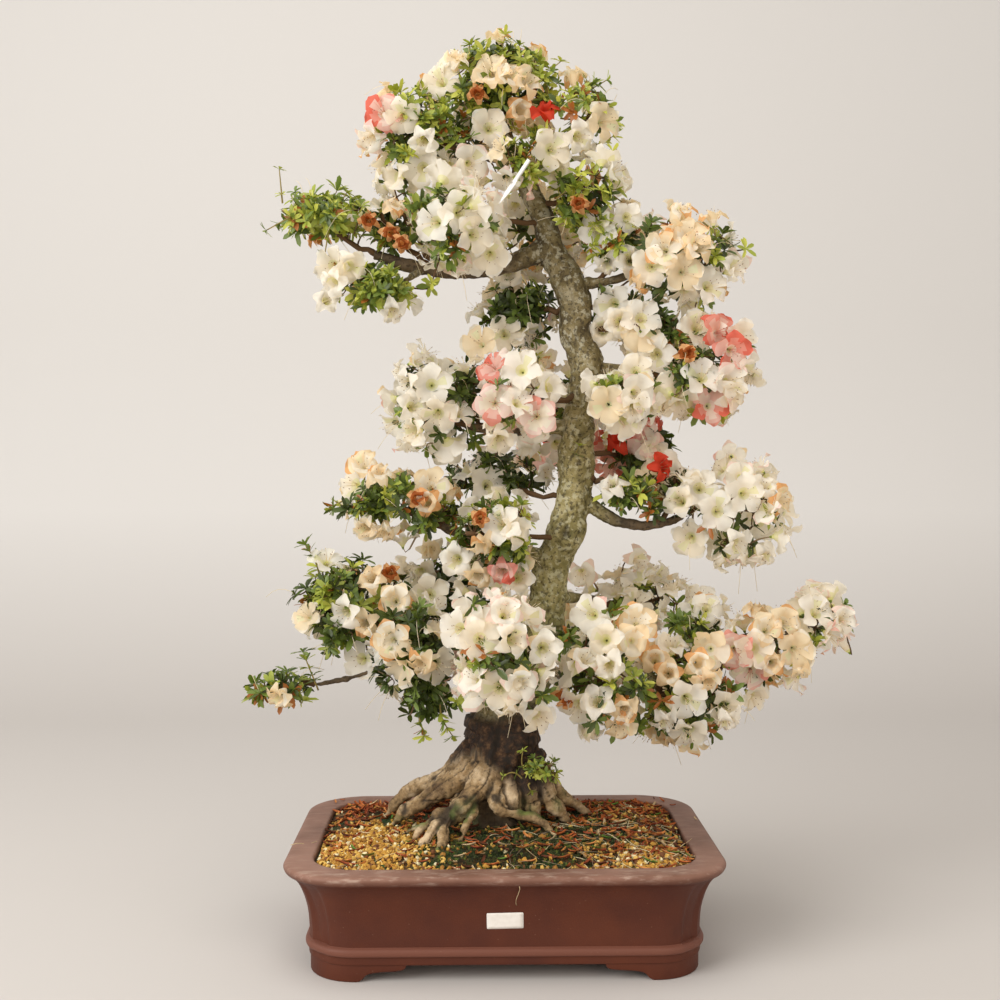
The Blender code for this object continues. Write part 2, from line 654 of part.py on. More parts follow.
def whorl_points(place, facing, rng, size):
    """Outline and two middles of a whorl of five leaves round a twig's end."""
    u, v = facing_frame(facing, rng)
    rim = []
    for leaf in range(LEAVES):
        angle = 2 * math.pi * leaf / LEAVES
        length = LEAF_REACH * size * rng.uniform(0.85, 1.0)
        lift = rng.uniform(-0.1, 0.45) * length
        for share, half, height in LEAF_OUTLINE:
            along = u * math.cos(angle) + v * math.sin(angle)
            across = v * math.cos(angle) - u * math.sin(angle)
            point = place + along * length * share + across * LEAF_HALF_WIDTH * size * half
            rim.append(point + facing * lift * height)
        notch = angle + math.pi / LEAVES
        rim.append(place + (u * math.cos(notch) + v * math.sin(notch)) * LEAF_HALF_WIDTH * LEAF_ROOT)
    return rim, place + facing * WHORL_THICK, place - facing * WHORL_THICK * 1.5


def spray_solid(rim, front, back, facing, joint):
    """A blossom or whorl and the twig under it as one closed body.

    The outline is joined to a middle in front and to the twig's end behind, and the
    three-sided twig runs back to its joint.
    """
    bm = bmesh.new()
    onward = (back - joint).normalized()
    side = facing.orthogonal().normalized()
    rings = []
    for middle, axis, radius in ((back, facing, TWIG_RADIUS), (joint, onward, 0.75 * TWIG_RADIUS)):
        level = (side - axis * side.dot(axis)).normalized()
        upright = axis.cross(level)
        ring = []
        for k in range(3):
            turn = 2.0 * math.pi * k / 3
            ring.append(bm.verts.new(middle + (level * math.cos(turn) + upright * math.sin(turn)) * radius))
        rings.append(ring)
    collar, root = rings
    first = min(range(len(rim)), key=lambda i: (rim[i] - back - (collar[0].co - back) * 20.0).length)
    edge = [bm.verts.new(rim[(first + i) % len(rim)]) for i in range(len(rim))]
    front_vert = bm.verts.new(front)
    count = len(edge)
    for i, vert in enumerate(edge):
        after = edge[(i + 1) % count]
        bm.faces.new((vert, after, front_vert))
        held = round(3.0 * i / count) % 3
        next_held = round(3.0 * (i + 1) / count) % 3
        bm.faces.new((after, vert, collar[held]))
        if next_held != held:
            bm.faces.new((after, collar[held], collar[next_held]))
    for k in range(3):
        bm.faces.new((collar[k], root[k], collar[(k + 1) % 3]))
        bm.faces.new((root[k], root[(k + 1) % 3], collar[(k + 1) % 3]))
    bm.faces.new(root)
    return bm


def between(a, b, count):
    return [a.lerp(b, t) for t in np.linspace(0.0, 1.0, count)]


def reach_inside(direction, radii):
    """How far an ellipsoid reaches from its middle along a direction."""
    unit = direction.normalized()
    return 1.0 / math.sqrt(sum((part / radius) ** 2 for part, radius in zip(unit, radii)))


def try_spray(kind, direction, share, mass, skeleton, taken, walls, limbs, rng):
    """One blossom or whorl near the edge of the mass, or nothing where it would not fit."""
    tilt = Vector((rng.uniform(-0.5, 0.5), rng.uniform(-0.5, 0.5), rng.uniform(-0.3, 0.6)))
    aim = Vector([part * radius for part, radius in zip(direction + tilt * 0.5, mass.radii)])
    outward = aim.normalized()
    place = Vector(mass.centre) + outward * reach_inside(outward, mass.radii) * share
    facing = (outward + tilt * 0.6 + Vector((0, 0, 0.15))).normalized()
    size = max(LEAST_SIZE, min(1.0, min(mass.radii) / FULL_SIZE))
    if kind == "flower":
        rim, front, back = flower_points(place, facing, rng, size)
        room = FLOWER_ROOM * size
    else:
        rim, front, back = whorl_points(place, facing, rng, size)
        room = WHORL_ROOM * size
    if any((place - other).length < max(room, least) * 0.5 + least * 0.5 for other, least in taken):
        return None
    joint = min(skeleton["stem"], key=lambda point: (point - back).length)
    if skeleton["twigs"]:
        nearer = min(skeleton["twigs"], key=lambda point: (point - back).length)
        if (nearer - back).length < (joint - back).length - SECOND_ORDER:
            joint = nearer
    if (joint - back).length < SHORTEST_TWIG or (back - joint).normalized().dot(facing) < 0.1:
        return None
    line = between(joint, back, max(3, int((back - joint).length / 0.005)))
    spread = [point for edge in rim for point in between(front, edge, 5)[1:]]
    spread += [point for edge in rim for point in between(back, edge, 4)[1:]]
    spread += [rim[i].lerp(rim[i - 1], 0.5) for i in range(len(rim))]
    if not fits(spread + line, mass, walls, limbs):
        return None
    taken.append((place, room))
    skeleton["twigs"] += between(joint, back, 6)[2:5]
    return spray_solid(rim, front, back, facing, joint)


def grow_mass(mass, stem, walls, limbs, rng):
    """The twigs with blossoms and whorls that branch from a stem, as loose solids."""
    skeleton = {"stem": [], "twigs": []}
    for first, second in zip(stem.points[2:-1], stem.points[3:]):
        skeleton["stem"] += between(first, second, 6)[:-1]
    heading = (Vector(stem.points[-1]) - Vector(stem.points[1])).normalized()
    wanted = [("flower", d) for d in sphere_directions(mass.flowers, rng)]
    wanted += [("whorl", d) for d in sphere_directions(mass.whorls, rng)]
    if wanted:
        kind = wanted[0][0]
        wanted = [(kind, heading)] + wanted[1:]
    taken = []
    solids = []
    for kind, direction in wanted:
        for attempt in range(TRIES):
            share = OUTERMOST - (OUTERMOST - INNERMOST) * attempt / TRIES
            if attempt > TRIES // 4:
                direction = Vector([rng.gauss(0, 1) for _ in range(3)]).normalized()
            solid = try_spray(kind, direction, share, mass, skeleton, taken, walls, limbs, rng)
            if solid:
                solids.append(solid)
                break
    return solids


def is_closed(piece):
    bm = bmesh.new()
    bm.from_mesh(piece.data)
    closed = all(len(edge.link_faces) == 2 for edge in bm.edges)
    bm.free()
    return closed


def make_mass(number, mass, stem, limbs):
    """Fuse a mass; where the first solver leaves an open edge, the second one joins it."""
    walls = walls_round(mass)
    for solver in ("EXACT", "MANIFOLD"):
        piece = as_object(f"foliage_{mass.name}", tube(stem, STEM_SIDES))
        solids = grow_mass(mass, stem, walls, limbs, random.Random(SEED + number))
        work_with(piece, "UNION", solids, solver)
        keep_main_body(piece)
        if is_closed(piece):
            return piece
        bpy.data.objects.remove(piece, do_unlink=True)
    raise RuntimeError(f"{mass.name} could not be closed")


def main():
    clear_scene()
    carrier = bpy.data.objects.new("middle_of_pot", None)
    bpy.context.scene.collection.objects.link(carrier)
    carrier.location = (POT_X, 0.0, 0.0)

    clay = plain_material("unglazed_stoneware", (0.115, 0.042, 0.030), 0.62)
    earth = plain_material("gravel_and_moss", (0.180, 0.110, 0.030), 0.95)
    bark = plain_material("azalea_bark", (0.200, 0.160, 0.100), 0.85)
    blossom = plain_material("blossom_and_leaf", (0.560, 0.560, 0.360), 0.80)

    finish(make_pot(), clay, carrier, 40)
    finish(make_soil(), earth, carrier, 40)

    paths = {"trunk": trunk_path()}
    trunk = make_trunk(paths["trunk"])
    finish(trunk, bark, carrier, 60)
    trunk_mesh = bmesh.new()
    trunk_mesh.from_mesh(trunk.data)
    trunk_shape = BVHTree.FromBMesh(trunk_mesh)
    trunk_mesh.free()

    for limb in BOUGHS:
        paths[limb.name] = bough_path(limb, paths)
        finish(make_bough(limb, paths[limb.name], paths), bark, carrier, 60)

    stems = {mass.name: stem_path(mass, paths, trunk_shape) for mass in MASSES}
    wood = [row for path in paths.values() for row in capsules(path, BARK_SWELL)]
    for tip in ROOT_TIPS:
        wood += capsules(root_path(*tip, paths["trunk"]))
    for number, mass in enumerate(MASSES):
        others = [row for name, stem in stems.items() if name != mass.name for row in capsules(stem)]
        piece = make_mass(number, mass, stems[mass.name], np.array(wood + others))
        finish(piece, blossom, carrier, 30)


main()
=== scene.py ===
# Azalea bonsai in late blossom, in an unglazed stoneware pot with cloud feet.
# Metres, +Z up, and the show side faces -Y. Shapes are worked out from the middle of the pot.
import math
import time
from functools import partial

import bmesh
import bpy
import numpy as np
from mathutils import Matrix, Vector, noise


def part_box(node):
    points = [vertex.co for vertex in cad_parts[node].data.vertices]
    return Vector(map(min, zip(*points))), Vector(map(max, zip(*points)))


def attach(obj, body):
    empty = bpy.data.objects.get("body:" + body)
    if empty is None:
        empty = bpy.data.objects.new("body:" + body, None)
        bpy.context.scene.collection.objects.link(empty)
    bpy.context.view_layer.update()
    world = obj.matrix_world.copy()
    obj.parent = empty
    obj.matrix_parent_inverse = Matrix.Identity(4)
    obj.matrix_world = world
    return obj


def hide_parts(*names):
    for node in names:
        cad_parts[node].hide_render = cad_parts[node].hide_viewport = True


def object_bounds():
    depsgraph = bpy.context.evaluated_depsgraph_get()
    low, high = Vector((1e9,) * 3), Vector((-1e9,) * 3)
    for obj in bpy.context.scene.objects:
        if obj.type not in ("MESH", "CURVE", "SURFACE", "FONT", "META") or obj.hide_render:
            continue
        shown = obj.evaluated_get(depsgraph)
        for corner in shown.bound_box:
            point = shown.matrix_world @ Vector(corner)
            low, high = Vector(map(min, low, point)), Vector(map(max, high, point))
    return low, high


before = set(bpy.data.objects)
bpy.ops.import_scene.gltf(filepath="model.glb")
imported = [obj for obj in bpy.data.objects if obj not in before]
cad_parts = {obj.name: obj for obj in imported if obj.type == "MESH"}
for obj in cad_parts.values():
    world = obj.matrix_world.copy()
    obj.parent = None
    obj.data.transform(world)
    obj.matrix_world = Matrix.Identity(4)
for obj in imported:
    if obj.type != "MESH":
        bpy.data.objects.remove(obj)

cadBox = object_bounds()
potLow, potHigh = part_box("pot")
potMiddle = Vector(((potLow.x + potHigh.x) / 2, (potLow.y + potHigh.y) / 2, 0.0))
mm = 0.001
started = time.time()


def say(words):
    print(f"{time.time() - started:6.1f} s  {words}")


# The photograph's camera, seen from the middle of the pot. A place in the photograph is given
# as a pixel of its 1000 x 1000 frame, and as the depth or the height that the thing lies at
photo = {
    "lens": 46.91,  # mm, on a 36 mm sensor
    "sensor": 36.0,
    "place": (-0.0375, -1.7351, 0.6157),
    "down": 0.0203,  # radians
    "turned": 0.0192,
    "focal": 1303.1,  # the same lens in pixels
    "horizon": 473.5,
}


def photoPlace(px, py, depth):
    away = depth - photo["place"][1]
    x = photo["place"][0] + ((px - 500) / photo["focal"] + photo["turned"]) * away
    return Vector((x, depth, photo["place"][2] - (py - photo["horizon"]) / photo["focal"] * away))


def groundPlace(px, py, height):
    away = (photo["place"][2] - height) * photo["focal"] / (py - photo["horizon"])
    return photoPlace(px, py, away + photo["place"][1])


# Nodes, materials and pieces


def tint(hexCode):  # sRGB to linear
    parts = [int(hexCode[i : i + 2], 16) / 255 for i in (1, 3, 5)]
    linear = [((c + 0.055) / 1.055) ** 2.4 if c > 0.04045 else c / 12.92 for c in parts]
    return (*linear, 1.0)


def feed(node, inputs):
    # a node stands for its first output, a hex code for its colour, anything else for itself
    for key, value in inputs.items():
        value = value.outputs[0] if isinstance(value, bpy.types.Node) else value
        value = tint(value) if isinstance(value, str) else value
        if isinstance(value, bpy.types.NodeSocket):
            node.id_data.links.new(value, node.inputs[key])
        else:
            node.inputs[key].default_value = value


def addNode(tree, kind, inputs={}, stops=(), **settings):
    node = tree.nodes.new("ShaderNode" + kind)
    for name, value in settings.items():
        setattr(node, name, value)
    feed(node, inputs)
    for i, (position, colour) in enumerate(stops):
        ramp = node.color_ramp.elements
        stop = ramp[i] if i < 2 else ramp.new(position)
        stop.position = position
        stop.color = tint(colour)
    return node


def freshMaterial(name, roughness):
    material = bpy.data.materials.new(name)
    material.use_nodes = True
    tree = material.node_tree
    shader = tree.nodes["Principled BSDF"]
    shader.inputs["Roughness"].default_value = roughness
    return material, tree, shader


def patterned(name, roughness):
    # a fresh material, what adds nodes to it, and the place of each point of its surface
    material, tree, shader = freshMaterial(name, roughness)
    add = partial(addNode, tree)
    return material, shader, add, add("TexCoord").outputs["Object"]


def smoothStep(value, low, high):
    share = np.clip((value - low) / (high - low), 0.0, 1.0)
    return share * share * (3.0 - 2.0 * share)


def unitRows(rows):
    return rows / np.linalg.norm(rows, axis=-1, keepdims=True)


def newObject(name, data):
    made = bpy.data.objects.new(name, data)
    bpy.context.scene.collection.objects.link(made)
    return made


def settle(mesh, name, materials, replaced=()):
    # the finished mesh gets its materials, goes to the pot's place and rides on the one body
    mesh.transform(Matrix.Translation(potMiddle))
    mesh.materials.clear()
    for material in materials:
        mesh.materials.append(material)
    mesh.shade_smooth()
    piece = newObject(name, mesh)
    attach(piece, "root")
    if replaced:
        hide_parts(*replaced)
    mesh.calc_loop_triangles()
    say(f"{name}: {len(mesh.loop_triangles)} triangles")
    return piece


def meshFrom(bm, name):
    mesh = bpy.data.meshes.new(name)
    bm.to_mesh(mesh)
    bm.free()
    return mesh


def applied(mesh, name, kind, **settings):
    # the mesh with one modifier applied to it
    holder = newObject(name, mesh)
    modifier = holder.modifiers.new(kind.lower(), kind)
    for key, value in settings.items():
        setattr(modifier, key, value)
    bpy.context.view_layer.update()
    evaluated = holder.evaluated_get(bpy.context.evaluated_depsgraph_get())
    result = bpy.data.meshes.new_from_object(evaluated)
    bpy.data.objects.remove(holder, do_unlink=True)
    bpy.data.meshes.remove(mesh)
    return result


def extruded(bm, edges):
    # the new points and the new edges of one extrusion
    grown = bmesh.ops.extrude_edge_only(bm, edges=edges)["geom"]
    verts = [part for part in grown if isinstance(part, bmesh.types.BMVert)]
    return verts, [part for part in grown if isinstance(part, bmesh.types.BMEdge)]


def growRings(rings, bm=None):
    # a circle set on the first ring, whose edge is extruded and set on each next one
    bm = bm or bmesh.new()
    place = bm.verts.layers.int.get("place") or bm.verts.layers.int.new("place")
    circle = bmesh.ops.create_circle(bm, segments=len(rings[0]), radius=1.0)["verts"]
    for i, vert in enumerate(circle):
        vert[place] = i
        vert.co = rings[0][i]
    edges = list(dict.fromkeys(edge for vert in circle for edge in vert.link_edges))
    bmesh.ops.edgeloop_fill(bm, edges=edges)
    for ring in rings[1:]:
        verts, edges = extruded(bm, edges)
        for vert in verts:
            vert.co = ring[vert[place]]
    bmesh.ops.edgeloop_fill(bm, edges=edges)
    return bm


def smoothThrough(stations, count):
    # a soft curve that passes through all the stations
    stations = np.array(stations, dtype=float)
    ends = np.vstack([2 * stations[0] - stations[1], stations, 2 * stations[-1] - stations[-2]])
    result = []
    for place in np.linspace(0, len(stations) - 1.0001, count):
        i = int(place)
        t = place - i
        a, b, c, d = ends[i : i + 4]
        bend = (2 * a - 5 * b + 4 * c - d) * t**2 + (3 * b - a - 3 * c + d) * t**3
        result.append(0.5 * (2 * b + (c - a) * t + bend))
    return np.array(result)


# The pot

potShape = {
    "length": 0.550,
    "depth": 0.400,
    "height": 0.137,
    "rimCorner": 0.079,
    "cornerShrink": 0.6,  # how much of an inset the corner radius loses
    "flute": 3.5 * mm,  # the sunk strip down each corner
    "fluteEdges": (29.0, 36.0, 54.0, 61.0),  # degrees of the quarter turn
    "bead": 0.6 * mm,  # how far the strip's edges stand out
    "beadWide": 2.5,  # degrees
    # outer wall and lip: inset from the rim, height, share of the flute's depth
    "wall": (
        (0.0312, 0.0207, 0.2), (0.0302, 0.0216, 0.3), (0.0299, 0.0250, 0.3), (0.0297, 0.0300, 0.3),
        (0.0288, 0.0312, 0.3), (0.0268, 0.0328, 0.3), (0.0260, 0.0360, 0.3), (0.0264, 0.0392, 0.3),
        (0.0283, 0.0414, 0.4), (0.0304, 0.0426, 0.9), (0.0307, 0.0450, 1.0), (0.0297, 0.0660, 1.0),
        (0.0272, 0.0820, 1.0), (0.0232, 0.0960, 1.0), (0.0178, 0.1090, 0.9), (0.0118, 0.1180, 0.6),
        (0.0060, 0.1232, 0.2), (0.0022, 0.1262, 0.0), (0.0004, 0.1295, 0.0), (0.0000, 0.1325, 0.0),
        (0.0014, 0.1350, 0.0), (0.0042, 0.1364, 0.0), (0.0090, 0.1370, 0.0),
    ),
    "inside": ((0.0320, 0.1370), (0.0346, 0.1364), (0.0358, 0.1345), (0.0366, 0.1280), (0.0395, 0.0800)),
    "floor": ((0.0435, 0.0400), (0.0485, 0.0340)),
    "drain": (0.110, 0.016),  # how far from the middle, and the radius
    "drillAt": (0.028, 0.03),  # height of the middle of the drill, and its length
    "footInset": 0.0318,
    "footThick": 0.018,
    "footSoft": 1.6 * mm,  # radius of the lower edge
    "footTop": 0.0243,
    # the scrolled lower edge of a foot: reach from the corner along each arm, and height
    "footArm": ((0.1225, 0.0200), (0.1195, 0.0150), (0.1100, 0.0128), (0.0860, 0.0112), (0.0745, 0.0085),
                (0.0690, 0.0030), (0.0640, 0.0003), (0.0600, 0.0)),
}


def potCorner(inset):
    # half the length and the depth that an inset leaves, and the radius of the corners
    radius = potShape["rimCorner"] - potShape["cornerShrink"] * inset
    return potShape["length"] / 2 - inset, potShape["depth"] / 2 - inset, radius


def potOutline(inset, height, fluteShare=0.0):
    halfX, halfY, radius = potCorner(inset)
    outer, inner, innerEnd, outerEnd = potShape["fluteEdges"]
    wide = potShape["beadWide"]
    points = []
    for quarter, (signX, signY) in enumerate(((1, 1), (-1, 1), (-1, -1), (1, -1))):
        for degrees in np.linspace(0, 90, 31):
            sunk = smoothStep(degrees, outer, inner) * (1 - smoothStep(degrees, innerEnd, outerEnd))
            edge = sum(math.exp(-(((degrees - place) / wide) ** 2)) for place in (outer, outerEnd))
            reach = radius - fluteShare * (potShape["flute"] * sunk - potShape["bead"] * edge)
            angle = math.radians(90 * quarter + degrees)
            x = signX * (halfX - radius) + reach * math.cos(angle)
            points.append((x, signY * (halfY - radius) + reach * math.sin(angle), height))
    return points


def footRings(signX, signY):
    # a wall that follows one corner, with a soft lower edge scrolled on both arms
    halfX, halfY, radius = potCorner(potShape["footInset"])
    arm = smoothThrough(potShape["footArm"], 30)
    stations = [((halfX, halfY - reach), (1.0, 0.0), low) for reach, low in arm]
    for degrees in np.linspace(0, 90, 16):
        outward = (math.cos(math.radians(degrees)), math.sin(math.radians(degrees)))
        place = (halfX - radius + radius * outward[0], halfY - radius + radius * outward[1])
        stations.append((place, outward, 0.0))
    stations += [((halfX - reach, halfY), (0.0, 1.0), low) for reach, low in reversed(arm)]
    soft, thick, top = potShape["footSoft"], potShape["footThick"], potShape["footTop"]
    rings = []
    for place, outward, low in stations:
        low = max(low, 0.0)
        edge = ((0.0, low + soft), (0.3 * soft, low + 0.3 * soft), (soft, low))
        section = ((0.0, top), *edge, *((thick - back, z) for back, z in reversed(edge)), (thick, top))
        ring = [(place[0] - back * outward[0], place[1] - back * outward[1], z) for back, z in section]
        rings.append([(signX * x, signY * y, z) for x, y, z in ring])
    return rings


def unglazedStoneware():
    # iron-red clay fired without a glaze: matt and finely sandy; paler on the belt, a painted highlight
    # with a little dust; paler on the lip, partly a painted highlight and partly dried lime, which also
    # lies on it in streaks
    material, shader, add, where = patterned("unglazed_stoneware", 0.58)
    split = add("SeparateXYZ", {"Vector": where})
    cloud = add("TexNoise", {"Vector": where, "Scale": 1 / 0.070, "Detail": 4.0})
    sand = add("TexNoise", {"Vector": where, "Scale": 1 / 0.0016, "Detail": 2.0})
    body = add("ValToRGB", {"Fac": cloud}, stops=((0.30, "#491E0F"), (0.70, "#5A2913")))
    # paler on the belt: a painted highlight, with a little dust
    beltHighlight = add("Math", {0: split.outputs["Z"], 1: 0.0370, 2: 0.0058}, operation="COMPARE")
    wall = add("MixRGB", {"Fac": beltHighlight, "Color1": body, "Color2": "#704334"})
    lipRise = add("MapRange", {"Value": split.outputs["Z"], "From Min": 0.1240, "From Max": 0.1366})
    # paler on the lip: partly dried lime, partly a painted highlight on its top
    lipLimeAndHighlight = add("ValToRGB", {"Fac": cloud}, stops=((0.32, "#735040"), (0.68, "#947060")))
    clay = add("MixRGB", {"Fac": lipRise, "Color1": wall, "Color2": lipLimeAndHighlight})
    # the streaks run along the front of the lip, about 9 mm wide and 30 mm long
    streakPlace = add("Mapping", {"Vector": where, "Scale": (1 / 0.030, 1 / 0.009, 1 / 0.008)})
    streak = add("TexNoise", {"Vector": streakPlace, "Scale": 1.0, "Detail": 5.0, "Roughness": 0.65})
    streakCut = add("MapRange", {"Value": streak, "From Min": 0.50, "From Max": 0.70})
    front = add("MapRange", {"Value": split.outputs["Y"], "From Min": -0.150, "From Max": -0.195,
                                       "To Min": 0.12, "To Max": 0.50})
    dusty = add("Math", {0: streakCut, 1: front}, operation="MULTIPLY")
    dustyLip = add("Math", {0: dusty, 1: lipRise}, operation="MULTIPLY")
    dusted = add("MixRGB", {"Fac": dustyLip, "Color1": clay, "Color2": "#D2BEAE"})
    # single pale grains of sand in the clay, a millimetre across
    fleck = add("TexVoronoi", {"Vector": where, "Scale": 1 / 0.009})
    fleckCut = add("MapRange", {"Value": fleck, "From Min": 0.07, "From Max": 0.03, "To Max": 0.35})
    final = add("MixRGB", {"Fac": fleckCut, "Color1": dusted, "Color2": "#B08A74"})
    rough = add("MapRange", {"Value": cloud, "To Min": 0.50, "To Max": 0.68})
    relief = add("Bump", {"Height": sand, "Strength": 0.35, "Distance": 0.4 * mm})
    feed(shader, {"Base Color": final, "Specular IOR Level": 0.35, "Roughness": rough, "Normal": relief})
    return material


def buildPot():
    wall = smoothThrough(potShape["wall"], 64)
    rings = [potOutline(0.040, 0.0203), potOutline(0.0340, 0.0203, 0.1)]
    rings += [potOutline(inset, height, share) for inset, height, share in wall]
    rings += [potOutline(inset, height) for inset, height in potShape["inside"] + potShape["floor"]]
    bm = growRings(rings)
    for signX in (-1, 1):
        for signY in (-1, 1):
            growRings(footRings(signX, signY), bm)
    bmesh.ops.recalc_face_normals(bm, faces=bm.faces[:])
    mesh = meshFrom(bm, "pot")
    away, radius = potShape["drain"]
    height, length = potShape["drillAt"]
    drills = bmesh.new()
    for side in (-1, 1):
        spot = Matrix.Translation((side * away, 0.0, height))
        bmesh.ops.create_cone(drills, cap_ends=True, segments=40, radius1=radius, radius2=radius,
                              depth=length, matrix=spot)
    drill = newObject("drill", meshFrom(drills, "drill"))
    mesh = applied(mesh, "pot", "BOOLEAN", operation="DIFFERENCE", object=drill, solver="EXACT",
                   use_self=True)
    bpy.data.objects.remove(drill, do_unlink=True)
    mesh.set_sharp_from_angle(angle=math.radians(50))
    return settle(mesh, "pot_stoneware", [unglazedStoneware()], ["pot"])


# A plain label on the front wall and a plain tag in the top of the tree, both bare

labelShape = {
    "left": -0.0235, "right": 0.0210, "low": 0.0655, "high": 0.0860,
    "tilt": 0.02,  # it was stuck on a little crooked
    "corner": 1.5 * mm,
    "stands": 0.25 * mm,
    "thick": 0.2 * mm,
}
tagShape = {
    "top": (529, 161), "end": (499, 205), "depth": -0.084,
    "width": 5.0 * mm,
    "thick": 0.5 * mm,
    "bow": 3.0 * mm,
    "tip": 0.28,  # share of the length that tapers
}


def wallInset(height):
    heights = [row[1] for row in potShape["wall"]]
    return float(np.interp(height, heights, [row[0] for row in potShape["wall"]]))


def paleSkin(name, roughness, marks, low, high):
    # a smooth pale surface with faint marks of the size given
    material, shader, add, where = patterned(name, roughness)
    mark = add("TexNoise", {"Vector": where, "Scale": 1 / marks, "Detail": 4.0})
    tone = add("ValToRGB", {"Fac": mark}, stops=((0.3, low), (0.65, high)))
    feed(shader, {"Base Color": tone})
    return material


def buildLabel():
    bm = bmesh.new()
    bmesh.ops.create_grid(bm, x_segments=8, y_segments=6, size=0.5)
    corners = [vert for vert in bm.verts if len(vert.link_faces) == 1]
    width = labelShape["right"] - labelShape["left"]
    height = labelShape["high"] - labelShape["low"]
    bmesh.ops.scale(bm, vec=(width, height, 1.0), verts=bm.verts[:])
    bmesh.ops.bevel(bm, geom=corners, offset=labelShape["corner"], segments=3, profile=0.5,
                    affect="VERTICES", material=-1)
    bmesh.ops.rotate(bm, matrix=Matrix.Rotation(labelShape["tilt"], 3, "Z"), verts=bm.verts[:])
    midX = (labelShape["right"] + labelShape["left"]) / 2
    midZ = (labelShape["high"] + labelShape["low"]) / 2
    for vert in bm.verts:
        x, z = vert.co.x + midX, vert.co.y + midZ
        front = -potShape["depth"] / 2 + wallInset(z) - labelShape["stands"]
        vert.co = (x, front, z)
    bmesh.ops.recalc_face_normals(bm, faces=bm.faces[:])
    if bm.faces[:][0].normal.y > 0:
        bmesh.ops.reverse_faces(bm, faces=bm.faces[:])
    bmesh.ops.solidify(bm, geom=bm.faces[:], thickness=-labelShape["thick"])
    bmesh.ops.recalc_face_normals(bm, faces=bm.faces[:])
    paper = paleSkin("coated_label_paper", 0.42, 0.006, "#E6E1D9", "#EFEBE4")  # a little dusty
    settle(meshFrom(bm, "label"), "plain_label", [paper])


def buildTag():
    top = photoPlace(*tagShape["top"], tagShape["depth"])
    end = photoPlace(*tagShape["end"], tagShape["depth"])
    along = end - top
    side = along.cross(Vector((0, 1, 0))).normalized()
    bm = bmesh.new()
    bmesh.ops.create_grid(bm, x_segments=2, y_segments=10, size=0.5)
    for vert in bm.verts:
        across, share = vert.co.x * 2, vert.co.y + 0.5
        taper = min(1.0, (1.0 - share) / tagShape["tip"] + 0.06)
        bow = math.sin(math.pi * share) * tagShape["bow"]
        vert.co = top + along * share + side * across * taper * tagShape["width"] / 2 + Vector((0, bow, 0))
    bmesh.ops.solidify(bm, geom=bm.faces[:], thickness=tagShape["thick"])
    bmesh.ops.recalc_face_normals(bm, faces=bm.faces[:])
    plastic = paleSkin("white_polystyrene", 0.35, 0.004, "#E6E6E2", "#F6F6F3")  # faintly scuffed
    settle(meshFrom(bm, "tag"), "plain_tag", [plastic])


# Limbs: the source's trunk, roots, boughs and stems, with finer steps

ground = 0.146
trunkShape = {
    # height, sideways place and width in millimetres
    "stations": (
        (138, -8, 80), (181, -8, 90), (230, -4, 100), (256, 1, 93), (288, 6, 82), (382, 50, 61),
        (431, 61, 52), (485, 66, 49), (539, 86, 48), (594, 97, 44), (644, 99, 46), (712, 106, 40),
        (759, 112, 44), (807, 98, 43), (847, 96, 43), (884, 83, 42), (912, 69, 37), (965, 53, 29),
        (993, 38, 27), (1026, 24, 22), (1053, 13, 17), (1086, 3, 11),
    ),
    "back": 0.024,
    "sway": 0.006,
    "steps": 150,
}
rootShape = {
    "rise": 0.088,
    "riseCurve": 1.25,
    "steps": (26, 24),  # of those behind and of those in front
    "bend": 0.009,
    "knuckles": 0.10,  # how much a root swells and narrows along its run
    # those behind, in millimetres: where each ends on the ground, its width at the trunk and at its end
    "tips": ((-140, 84, 34, 10), (112, 92, 46, 14), (24, 132, 42, 12), (-62, 128, 38, 12)),
    # those in front, through stations: pixel, depth and width in millimetres
    "laid": (
        ((478, 745, 28, 34), (452, 772, 28, 26), (430, 783, 30, 21), (410, 792, 34, 18),
         (398, 802, 38, 15), (390, 812, 44, 10), (386, 820, 48, 6)),
        ((484, 750, 22, 34), (466, 775, 8, 34), (445, 788, 2, 30), (425, 800, -4, 24),
         (408, 811, -5, 18), (398, 820, 0, 11), (389, 828, 6, 4)),
        ((492, 748, 14, 40), (484, 778, -8, 38), (470, 801, -28, 31), (454, 815, -46, 27),
         (444, 825, -64, 20)),
        ((456, 812, -46, 17), (439, 817, -54, 14), (427, 824, -62, 11), (419, 833, -70, 8),
         (413, 842, -74, 4)),
        ((448, 820, -60, 16), (436, 826, -72, 13), (429, 836, -84, 11), (421, 845, -92, 8),
         (420, 856, -100, 4)),
        ((448, 822, -62, 18), (443, 833, -78, 16), (444, 843, -92, 12), (438, 852, -104, 8),
         (436, 860, -110, 4)),
        ((475, 803, -30, 11), (472, 816, -48, 11), (465, 828, -62, 9), (463, 838, -74, 7),
         (457, 847, -80, 4)),
        ((432, 821, -60, 7), (421, 827, -60, 6), (411, 831, -56, 4), (402, 835, -50, 3)),
        ((500, 765, 10, 30), (495, 795, -24, 23), (502, 811, -34, 17), (518, 817, -30, 12),
         (534, 820, -30, 13), (546, 827, -34, 10), (556, 838, -40, 4)),
        ((506, 752, 14, 38), (510, 782, -8, 36), (513, 802, -14, 30), (516, 819, -6, 14)),
        ((520, 752, 16, 38), (525, 782, -4, 36), (531, 802, -8, 29), (537, 819, -2, 12)),
        ((530, 755, 18, 34), (542, 787, 2, 30), (553, 804, -2, 24), (563, 817, 2, 15), (573, 828, 4, 5)),
        ((538, 772, 20, 32), (552, 787, 24, 20), (564, 798, 30, 15), (577, 807, 40, 12),
         (594, 819, 50, 6)),
    ),
}
